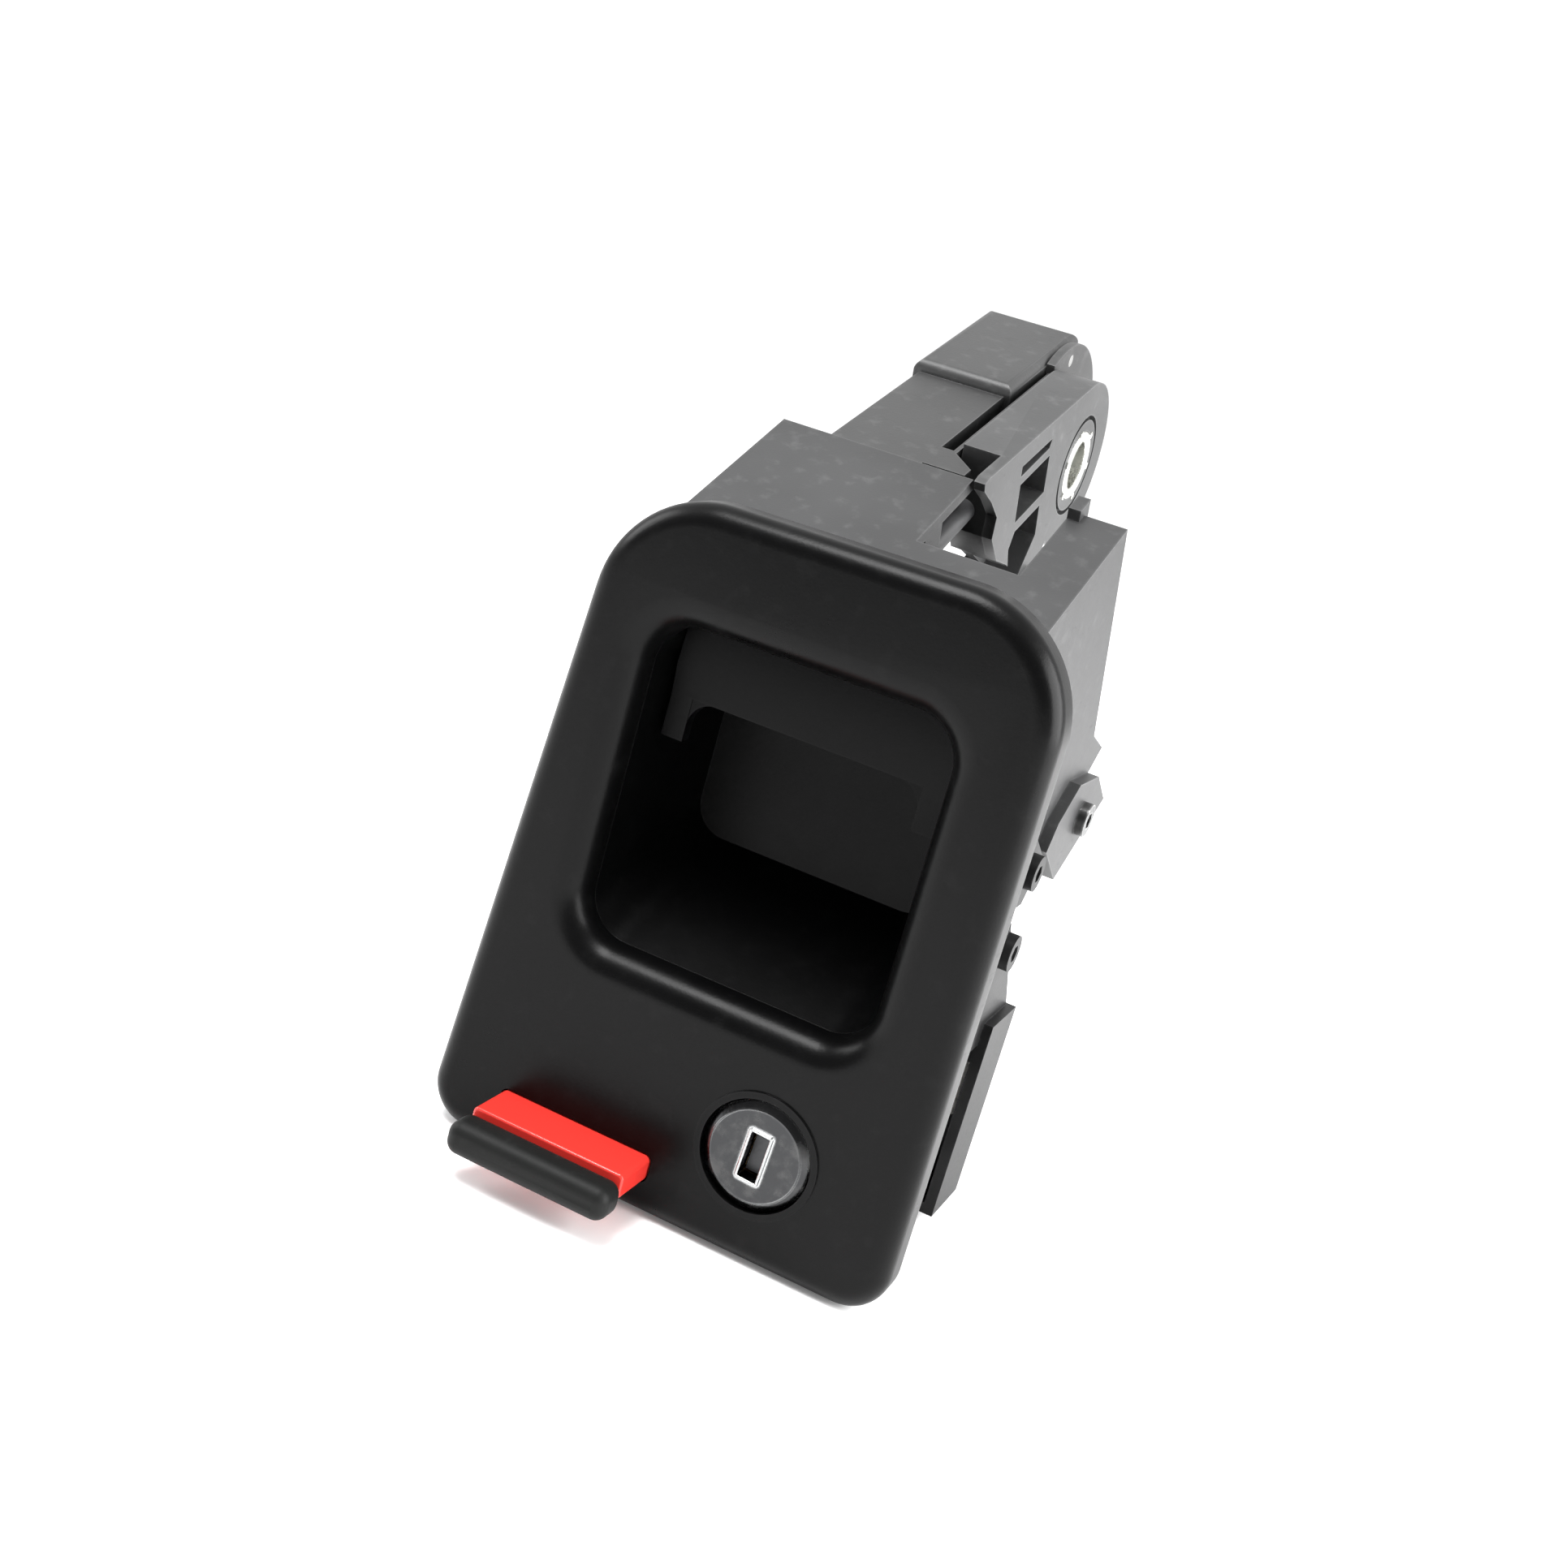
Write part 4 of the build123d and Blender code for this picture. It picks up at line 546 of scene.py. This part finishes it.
class Shop(Enum):
    """Every finish on the module, by the piece that it is for."""

    BEZEL = Moulded(
        "bezel_satin_black", (0.0022, 0.0022, 0.0023),
        roughness=0.30, grain=0.00050, relief=0.000012, rub=0.004, shine=0.11,
    )
    # A darker copy of the bezel's satin black: the extra darkness is painted shade for the inside of the
    # finger recess.
    POCKET = Moulded(
        "pocket_black_painted_shade", (0.0016, 0.0016, 0.0017),
        roughness=0.34, grain=0.00055, relief=0.000016, rub=0.002, shine=0.08,
    )
    PADDLE = Moulded(
        "paddle_satin_black", (0.0020, 0.0020, 0.0021),
        roughness=0.36, grain=0.0005, relief=0.000012, rub=0.002, shine=0.08,
    )
    HOUSING = Moulded(
        "housing_matt_grey", (0.026, 0.0263, 0.027),
        roughness=0.50, grain=0.00045, relief=0.000016, rub=0.05,
    )
    COVER = Moulded(
        "cover_matt_grey", (0.028, 0.0282, 0.0284),
        roughness=0.47, grain=0.0006, relief=0.000018, rub=0.05,
    )
    LEVER = Moulded(
        "lever_matt_grey", (0.044, 0.0445, 0.045),
        roughness=0.44, grain=0.0005, relief=0.000014, rub=0.06,
    )
    GUIDE = Moulded("guide_black", (0.020, 0.020, 0.021), roughness=0.52, grain=0.0006)
    RED = Moulded(
        "tab_red", (0.90, 0.050, 0.072),
        roughness=0.42, grain=0.0009, relief=0.000006, rub=0.05, coat=0.10,
    )
    LIP = Moulded(
        "lip_soft_black", (0.008, 0.0083, 0.008),
        roughness=0.50, grain=0.00045, relief=0.000018, rub=0.01, shine=0.14,
    )
    GASKET = Moulded("gasket_rubber", (0.013, 0.013, 0.013), roughness=0.72, grain=0.0004, rub=0.01)
    NYLON = Moulded(
        "rod_nylon", (0.30, 0.30, 0.285), roughness=0.42, grain=0.0012, relief=0.000006, rub=0.05
    )
    PUSHER = Moulded("push_rod_nylon", (0.05, 0.05, 0.052), roughness=0.45, grain=0.0012, relief=0.000006)
    CRADLE = Coated("cradle_coat", (0.006, 0.006, 0.0062), roughness=0.42, chip=0.06, shine=0.12)
    BRACKET = Coated("bracket_coat", (0.030, 0.030, 0.031), roughness=0.45, chip=0.18)
    # The plug cap's pale edge colour is a painted highlight on the rims of its face and key slot, on top of
    # the polished wear that keys leave.
    CHROME = Metal(
        "plug_dark_chrome", (0.040, 0.0405, 0.042),
        roughness=0.20, tarnish=(0.075, 0.075, 0.075), patchy=0.85, polish_and_highlight=(0.74, 0.75, 0.75),
    )
    SHUTTER = Metal("shutter_dark", (0.05, 0.05, 0.052), roughness=0.4, tarnish=(0.02, 0.02, 0.02))
    SCREW = Metal(
        "black_screw", (0.085, 0.085, 0.085),
        roughness=0.34, tarnish=(0.04, 0.04, 0.04), polish_and_highlight=(0.34, 0.34, 0.34),
    )
    ZINC = Metal("zinc_plate", (0.80, 0.80, 0.76), roughness=0.27, tarnish=(0.55, 0.58, 0.54), patchy=0.5)
    STEEL = Metal("turned_steel", (0.60, 0.60, 0.59), roughness=0.26, lines=(0.15, 1.0, 1.0))
    SPRING = Metal("spring_steel", (0.46, 0.46, 0.47), roughness=0.30)
    CAST = Metal("cast_zinc", (0.42, 0.42, 0.43), roughness=0.46, tarnish=(0.28, 0.28, 0.28), patchy=0.5)
    BRASS = Metal("plug_brass", (0.72, 0.53, 0.25), roughness=0.32, tarnish=(0.38, 0.26, 0.12))
    PAPER = Backdrop("studio_paper", (0.93, 0.93, 0.93))

    @property
    def material(self) -> bpy.types.Material:
        """This finish's material."""
        return self.value.material()


# ------------------------------------------------------------------------------------ making pieces
def body_of(node: str) -> str:
    """The body that a CAD node moves with."""
    for body, nodes in frame["record"]["behaviour"]["bodies"].items():
        if node in nodes:
            return body
    raise KeyError(node)


def slot_of(node: str) -> str:
    """The record's material slot of a CAD node."""
    for entry in frame["record"]["subparts"]:
        if entry["node"] == node:
            return entry.get("material_slot", node)
    return node


def dress_node(node: str, finish: Shop) -> None:
    """Lays a finish on a CAD node that keeps its own mesh.

    Args:
        node: the node's name.
        finish: what it is finished in.
    """
    thing = frame["nodes"][node]
    if not thing.material_slots:
        thing.data.materials.append(finish.material)
    for place in thing.material_slots:
        place.material = finish.material
    LOG.info("dressed %s in %s", node, finish.name)


def place_piece(
    mesh: bpy.types.Mesh, name: str, node: str, finish: Shop, replaced: bool = False
) -> bpy.types.Object:
    """Adds a finished mesh to the scene on a node's body.

    Args:
        mesh: the mesh, in the packed frame.
        name: the piece's name.
        node: the CAD node whose body and slot it takes.
        finish: what it is finished in.
        replaced: whether it stands for the node.

    Returns:
        The new object.
    """
    piece = bpy.data.objects.new(name, mesh)
    bpy.context.scene.collection.objects.link(piece)
    mesh.materials.clear()
    mesh.materials.append(finish.material)
    for face in mesh.polygons:
        face.material_index = 0
    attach(piece, body_of(node))
    slot_of(node)
    if replaced:
        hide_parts(node)
    LOG.info("made %s for %s, %d faces", name, node, len(mesh.polygons))
    return piece


def mark_sharp(shape: bmesh.types.BMesh, sharp: float) -> None:
    """Smooths every face and keeps the edges sharp where two faces meet at more than an angle.

    Args:
        shape: the mesh being made.
        sharp: the angle, in degrees.
    """
    limit = radians(sharp)
    for face in shape.faces:
        face.smooth = True
    for edge in shape.edges:
        edge.smooth = len(edge.link_faces) == 2 and edge.calc_face_angle(pi) < limit


def softened(node: str, round_off: float, sharp: float) -> bpy.types.Mesh:
    """A merged copy of a CAD node with its sharp edges rounded off.

    Args:
        node: the CAD node.
        round_off: the width of the rounding, in metres.
        sharp: the angle, in degrees, past which an edge is rounded.

    Returns:
        The finished mesh.
    """
    shape = bmesh.new()
    shape.from_mesh(frame["nodes"][node].data)
    bmesh.ops.remove_doubles(shape, verts=shape.verts, dist=WELD)
    bmesh.ops.dissolve_limit(
        shape, angle_limit=radians(FLAT), verts=shape.verts, edges=shape.edges, delimit={"NORMAL"}
    )
    mark_sharp(shape, sharp)
    mesh = bpy.data.meshes.new(f"{node}_softened")
    shape.to_mesh(mesh)
    shape.free()
    piece = bpy.data.objects.new(f"{node}_work", mesh)
    bpy.context.scene.collection.objects.link(piece)
    rounding = piece.modifiers.new("rounding", "BEVEL")
    rounding.width = round_off
    rounding.segments = ROUND_SEGMENTS
    rounding.limit_method = "ANGLE"
    rounding.angle_limit = radians(sharp)
    rounding.use_clamp_overlap = True
    rounding.harden_normals = True
    return evaluated(piece)


def evaluated(piece: bpy.types.Object) -> bpy.types.Mesh:
    """The plain mesh that an object's modifiers make; the object is then removed.

    Args:
        piece: an object with live modifiers.

    Returns:
        The mesh, with nothing live left on it.
    """
    graph = bpy.context.evaluated_depsgraph_get()
    graph.update()
    result = bpy.data.meshes.new_from_object(piece.evaluated_get(graph), depsgraph=graph)
    bpy.data.objects.remove(piece)
    return result


@dataclass(frozen=True)
class SoftPiece:
    """A CAD node that gets a better mesh.

    Attributes:
        node: the CAD node.
        finish: what it is finished in.
        round_off: the width of its edge rounding, in metres.
        sharp: the angle past which an edge is rounded, in degrees.
    """

    node: str
    finish: Shop
    round_off: float = 0.0004
    sharp: float = 30.0

    def build(self) -> bpy.types.Object:
        """Makes the piece and lets it stand for its node."""
        mesh = softened(self.node, self.round_off, self.sharp)
        return place_piece(mesh, f"{self.node}_shell", self.node, self.finish, replaced=True)


class Layout(Enum):
    """How equal copies are laid out."""

    ROW = "row"
    RING = "ring"


@dataclass(frozen=True)
class Repeat:
    """Equal small blocks in a row or on a ring, made by a node tree.

    Attributes:
        name: the piece's name.
        node: the CAD node whose body and slot they take.
        finish: what they are finished in.
        layout: a row along X, or a ring about Z.
        count: how many there are.
        reach: the pitch of the row or the radius of the ring, in metres.
        block: each block's size, in metres.
        place: from the layout's own axes to the frame.
        soft: the rounding of their edges, in metres.
    """

    name: str
    node: str
    finish: Shop
    layout: Layout
    count: int
    reach: float
    block: Triple
    place: Matrix
    soft: float = 0.00008

    def tree(self) -> bpy.types.NodeTree:
        """The node tree, with its count, reach and block size as named inputs."""
        group = bpy.data.node_groups.new(f"{self.name}_repeat", "GeometryNodeTree")
        for name, kind in (("Count", "Int"), ("Reach", "Float"), ("Block", "Vector")):
            group.interface.new_socket(name, in_out="INPUT", socket_type=f"NodeSocket{kind}")
        group.interface.new_socket("Geometry", in_out="OUTPUT", socket_type="NodeSocketGeometry")
        make, link = group.nodes.new, group.links.new
        given = make("NodeGroupInput").outputs
        block = make("GeometryNodeMeshCube")
        copies = make("GeometryNodeInstanceOnPoints")
        link(given["Block"], block.inputs["Size"])
        link(block.outputs["Mesh"], copies.inputs["Instance"])
        if self.layout is Layout.ROW:
            points = make("GeometryNodeMeshLine")
            step = make("ShaderNodeCombineXYZ")
            link(given["Reach"], step.inputs["X"])
            link(step.outputs["Vector"], points.inputs["Offset"])
            link(given["Count"], points.inputs["Count"])
        else:
            points = make("GeometryNodeMeshCircle")
            turn = make("FunctionNodeAlignRotationToVector")
            turn.axis = "X"
            link(given["Count"], points.inputs["Vertices"])
            link(given["Reach"], points.inputs["Radius"])
            link(make("GeometryNodeInputPosition").outputs["Position"], turn.inputs["Vector"])
            link(turn.outputs["Rotation"], copies.inputs["Rotation"])
        link(points.outputs["Mesh"], copies.inputs["Points"])
        real = make("GeometryNodeRealizeInstances")
        dressed = make("GeometryNodeSetMaterial")
        dressed.inputs["Material"].default_value = self.finish.material
        link(copies.outputs["Instances"], real.inputs["Geometry"])
        link(real.outputs["Geometry"], dressed.inputs["Geometry"])
        link(dressed.outputs["Geometry"], make("NodeGroupOutput").inputs["Geometry"])
        return group

    def build(self) -> bpy.types.Object:
        """Makes the blocks as one plain mesh and places it."""
        group = self.tree()
        piece = bpy.data.objects.new(f"{self.name}_work", bpy.data.meshes.new(f"{self.name}_work"))
        bpy.context.scene.collection.objects.link(piece)
        live = piece.modifiers.new("repeat", "NODES")
        live.node_group = group
        known = {item.name: item.identifier for item in group.interface.items_tree if item.in_out == "INPUT"}
        live[known["Count"]] = self.count
        live[known["Reach"]] = self.reach
        live[known["Block"]] = self.block
        rounding = piece.modifiers.new("rounding", "BEVEL")
        rounding.width = self.soft
        rounding.segments = ROUND_SEGMENTS
        mesh = evaluated(piece)
        mesh.transform(self.place)
        return place_piece(mesh, self.name, self.node, self.finish)


@dataclass
class SubAssembly:
    """A group of nodes that are made and dressed together.

    Attributes:
        soft: nodes that get a better mesh.
        plain: nodes that keep their CAD mesh, with their finishes.
    """

    soft: list[SoftPiece] = field(default_factory=list)
    plain: dict[str, Shop] = field(default_factory=dict)

    def build(self) -> None:
        """Makes every piece of the group."""
        for piece in self.soft:
            piece.build()
        for node, finish in self.plain.items():
            dress_node(node, finish)
        self.add_details()

    def add_details(self) -> None:
        """Adds what the CAD leaves out; nothing by default."""


@dataclass
class Bezel(SubAssembly):
    """The bezel, its gasket and the finger recess.

    Attributes:
        rib_pitch: from one stiffening rib to the next, in metres.
        rib_width: the width of a rib.
        rib_depth: how far it stands behind the skin.
        rib_height: its height.
    """

    rib_pitch: float = 6.0 * MM
    rib_width: float = 1.2 * MM
    rib_depth: float = 4.4 * MM
    rib_height: float = 8.0 * MM

    def __post_init__(self) -> None:
        """Lists the group's nodes."""
        self.soft = [
            SoftPiece("bezel", Shop.BEZEL, 0.0005),
            # The pocket wears the darker black that paints shade into the recess.
            SoftPiece("recess_pocket", Shop.POCKET, 0.0008),
            SoftPiece("grip_paddle", Shop.PADDLE, 0.0009),
        ]
        self.plain = {"flange_gasket": Shop.GASKET, "flange_screws": Shop.STEEL}

    def add_details(self) -> None:
        """Adds the stiffening ribs behind the skin, above the recess."""
        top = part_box("bezel")[1][2]
        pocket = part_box("recess_pocket")
        back = pocket[0][1] - self.rib_depth / 2
        first = pocket[0][0] + self.rib_pitch
        middle = (pocket[1][2] + top) / 2
        count = int((pocket[1][0] - first) / self.rib_pitch)
        Repeat(
            "bezel_ribs", "bezel", Shop.BEZEL, Layout.ROW, count, self.rib_pitch,
            (self.rib_width, self.rib_depth, self.rib_height), Matrix.Translation((first, back, middle)),
        ).build()


@dataclass
class Housing(SubAssembly):
    """The rear housing with the paddle's pin and push rod."""

    def __post_init__(self) -> None:
        """Lists the group's nodes."""
        self.soft = [
            SoftPiece("rear_housing", Shop.HOUSING, 0.0005),
            SoftPiece("rear_cover", Shop.COVER, 0.0005),
            SoftPiece("cheek_plate", Shop.COVER, 0.0003),
            SoftPiece("push_rod", Shop.PUSHER, 0.0003),
        ]
        self.plain = {
            "paddle_pin": Shop.STEEL,
            "paddle_clips": Shop.SPRING,
            "paddle_spring": Shop.SPRING,
            "cheek_rivets": Shop.STEEL,
            "cover_screws": Shop.STEEL,
        }


@dataclass
class Lever(SubAssembly):
    """The output lever, its bush, yoke and pin.

    Attributes:
        stakes: how many stakes hold the bush.
        stake_size: a stake's size along the radius, round the rim and outwards.
        overhang: the share of a stake's length that its middle stands outside the rim.
    """

    stakes: int = 6
    stake_size: Triple = (1.1 * MM, 1.5 * MM, 0.7 * MM)
    overhang: float = 0.3

    def __post_init__(self) -> None:
        """Lists the group's nodes."""
        self.soft = [
            SoftPiece("output_lever", Shop.LEVER, 0.0005),
            SoftPiece("lever_bush", Shop.ZINC, 0.0003),
            SoftPiece("lever_yoke", Shop.BRACKET, 0.0004),
        ]
        self.plain = {
            "lever_pin": Shop.STEEL,
            "lever_clips": Shop.SPRING,
            "yoke_screws": Shop.STEEL,
        }

    def add_details(self) -> None:
        """Adds the stakes that hold the bush, round its rim on the lever's outer face."""
        low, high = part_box("lever_bush")
        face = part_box("output_lever")[1][0]
        centre = (face, (low[1] + high[1]) / 2, (low[2] + high[2]) / 2)
        upright = Matrix(((0, 0, 1), (1, 0, 0), (0, 1, 0))).to_4x4()
        Repeat(
            "bush_stakes", "lever_bush", Shop.ZINC, Layout.RING, self.stakes,
            (high[2] - low[2]) / 2 + self.stake_size[0] * self.overhang,
            self.stake_size, Matrix.Translation(centre) @ upright,
        ).build()


@dataclass
class KeyLock(SubAssembly):
    """The keyed plug, its barrel and the cam."""

    def __post_init__(self) -> None:
        """Lists the group's nodes."""
        self.soft = [
            SoftPiece("plug_cap", Shop.CHROME, 0.00018),
            SoftPiece("lock_barrel", Shop.CAST, 0.0004),
            SoftPiece("lock_cam", Shop.ZINC, 0.0002),
        ]
        self.plain = {
            "lock_plug": Shop.BRASS,
            "lock_wafers": Shop.BRASS,
            "key_shutter": Shop.SHUTTER,
            "cam_screw": Shop.STEEL,
            "barrel_screws": Shop.STEEL,
        }


@dataclass
class RodAndCradle(SubAssembly):
    """The locking rod, its yoke and the open cradle."""

    def __post_init__(self) -> None:
        """Lists the group's nodes."""
        self.soft = [
            SoftPiece("lock_cradle", Shop.CRADLE, 0.0004),
            SoftPiece("cradle_link", Shop.CRADLE, 0.0004),
            SoftPiece("lock_rod", Shop.NYLON, 0.0003),
            SoftPiece("cam_yoke", Shop.ZINC, 0.0003),
        ]
        self.plain = {"link_screws": Shop.CRADLE, "lug_screw": Shop.SCREW}


@dataclass
class ReleaseTab(SubAssembly):
    """The red push tab, its soft lip and the guide behind it."""

    def __post_init__(self) -> None:
        """Lists the group's nodes."""
        self.soft = [
            SoftPiece("release_tab", Shop.RED, 0.0006),
            SoftPiece("tab_lip", Shop.LIP, 0.0003, 40.0),
            SoftPiece("tab_guide", Shop.GUIDE, 0.0004),
        ]
        self.plain = {"tab_spring": Shop.SPRING, "guide_screws": Shop.STEEL}


# ------------------------------------------------------------------------------------ studio
@dataclass(frozen=True)
class Lamp:
    """A soft rectangular light.

    Attributes:
        name: what the light is for.
        place: where it stands, in metres.
        aim: the point that it faces.
        size: its width and height, in metres.
        power: its power, in watts.
    """

    name: str
    place: Triple
    aim: Triple
    size: tuple[float, float]
    power: float

    def build(self) -> None:
        """Adds the light to the scene."""
        data = bpy.data.lights.new(self.name, "AREA")
        data.shape = "RECTANGLE"
        data.size, data.size_y = self.size
        data.energy = self.power
        lamp = bpy.data.objects.new(self.name, data)
        lamp.location = self.place
        toward = Vector(self.aim) - Vector(self.place)
        lamp.rotation_euler = toward.to_track_quat("-Z", "Y").to_euler()
        bpy.context.scene.collection.objects.link(lamp)


@dataclass
class Studio:
    """White paper, soft lights and the camera.

    Attributes:
        azimuth: how far the camera stands round from the front towards +X, in degrees.
        elevation: how far it looks down, in degrees.
        roll: how far it leans, in degrees.
        distance: from the camera to its aim point, in metres.
        aim: the point in the middle of the view.
        lens: focal length for a 36 mm sensor, in millimetres.
        gap: how far the paper lies below the object, in metres.
        paper_half: half the width of the paper, in metres.
        dim_sky: the strength of the sky behind the camera.
        bright_sky: its strength overhead and behind the object.
        sky_rise: how much of the sky's change comes from height, against 1 from depth.
        sky_from: the mix of depth and height where the sky starts to brighten.
        sky_to: the mix where it is brightest.
        near_clip: the nearest thing that the camera sees, in metres.
    """

    azimuth: float = 19.31
    elevation: float = 15.65
    roll: float = 15.88
    distance: float = 0.35
    aim: Triple = (0.0056, -0.0104, 0.0240)
    lens: float = 44.89
    gap: float = 0.0002
    paper_half: float = 30.0
    dim_sky: float = 0.30
    bright_sky: float = 1.25
    sky_rise: float = 0.9
    sky_from: float = -0.15
    sky_to: float = 0.65
    near_clip: float = 0.01
    lamps: tuple[Lamp, ...] = (
        Lamp("key_top", (-0.20, -0.30, 1.00), (0.0, 0.0, 0.0), (0.45, 0.45), 15.0),
        Lamp("side_right", (1.00, 0.15, 0.35), (0.03, 0.06, 0.03), (1.0, 1.0), 34.0),
        Lamp("side_left", (-0.95, -0.10, 0.45), (-0.03, 0.0, 0.0), (0.5, 0.5), 6.0),
    )

    def build(self) -> None:
        """Sets up the whole studio."""
        self.add_camera()
        self.add_paper()
        for lamp in self.lamps:
            lamp.build()
        self.add_sky()

    def add_camera(self) -> None:
        """Places the camera and makes it the scene's own."""
        turn, down = radians(self.azimuth), radians(self.elevation)
        ahead = Vector((-sin(turn) * cos(down), cos(turn) * cos(down), -sin(down)))
        level = Vector((cos(turn), sin(turn), 0.0))
        above = level.cross(ahead)
        right = level * cos(radians(self.roll)) + above * sin(radians(self.roll))
        up = right.cross(ahead)
        data = bpy.data.cameras.new("studio_camera")
        data.lens = self.lens
        data.sensor_width = SENSOR_WIDTH
        data.clip_start = self.near_clip
        camera = bpy.data.objects.new("studio_camera", data)
        turned = Matrix((right, up, -ahead)).transposed()
        place = Vector(self.aim) - ahead * self.distance
        camera.matrix_world = Matrix.Translation(place) @ turned.to_4x4()
        bpy.context.scene.collection.objects.link(camera)
        bpy.context.scene.camera = camera

    def add_paper(self) -> None:
        """Lays the white paper under the object."""
        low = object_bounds()[0][2] - self.gap
        half = self.paper_half
        verts = [(-half, -half, low), (half, -half, low), (half, half, low), (-half, half, low)]
        mesh = bpy.data.meshes.new("paper")
        mesh.from_pydata(verts, [], [(0, 1, 2, 3)])
        mesh.materials.append(Shop.PAPER.material)
        paper = bpy.data.objects.new("paper", mesh)
        bpy.context.scene.collection.objects.link(paper)
        paper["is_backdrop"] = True

    def add_sky(self) -> None:
        """Gives the world an even white light and the view its plain tone curve."""
        world = bpy.data.worlds.new("studio_white")
        world.use_nodes = True
        sky = world.node_tree.nodes["Background"]
        tree = world.node_tree
        heading = tree.nodes.new("ShaderNodeTexCoord").outputs["Generated"]
        split = tree.nodes.new("ShaderNodeSeparateXYZ")
        tree.links.new(heading, split.inputs["Vector"])
        rise = tree.nodes.new("ShaderNodeMath")
        rise.operation = "MULTIPLY_ADD"
        rise.inputs[1].default_value = self.sky_rise
        tree.links.new(split.outputs["Z"], rise.inputs[0])
        tree.links.new(split.outputs["Y"], rise.inputs[2])
        spread = tree.nodes.new("ShaderNodeMapRange")
        spread.inputs["From Min"].default_value = self.sky_from
        spread.inputs["From Max"].default_value = self.sky_to
        spread.inputs["To Min"].default_value = self.dim_sky
        spread.inputs["To Max"].default_value = self.bright_sky
        tree.links.new(rise.outputs[0], spread.inputs["Value"])
        tree.links.new(spread.outputs["Result"], sky.inputs["Strength"])
        sky.inputs["Color"].default_value = (1.0, 1.0, 1.0, 1.0)
        scene = bpy.context.scene
        scene.world = world
        scene.view_settings.view_transform = "Standard"
        scene.view_settings.look = "None"
        scene.view_settings.exposure = 0.0


def main() -> None:
    """Builds the module, sub-assembly by sub-assembly, and then its studio."""
    logging.basicConfig(level=logging.INFO, format="%(message)s")
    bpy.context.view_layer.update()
    Studio().build()
    for group in (Bezel(), Housing(), Lever(), KeyLock(), RodAndCradle(), ReleaseTab()):
        LOG.info("%s: %s", type(group).__name__, (group.__doc__ or "").strip())
        group.build()


if __name__ == "__main__":
    main()
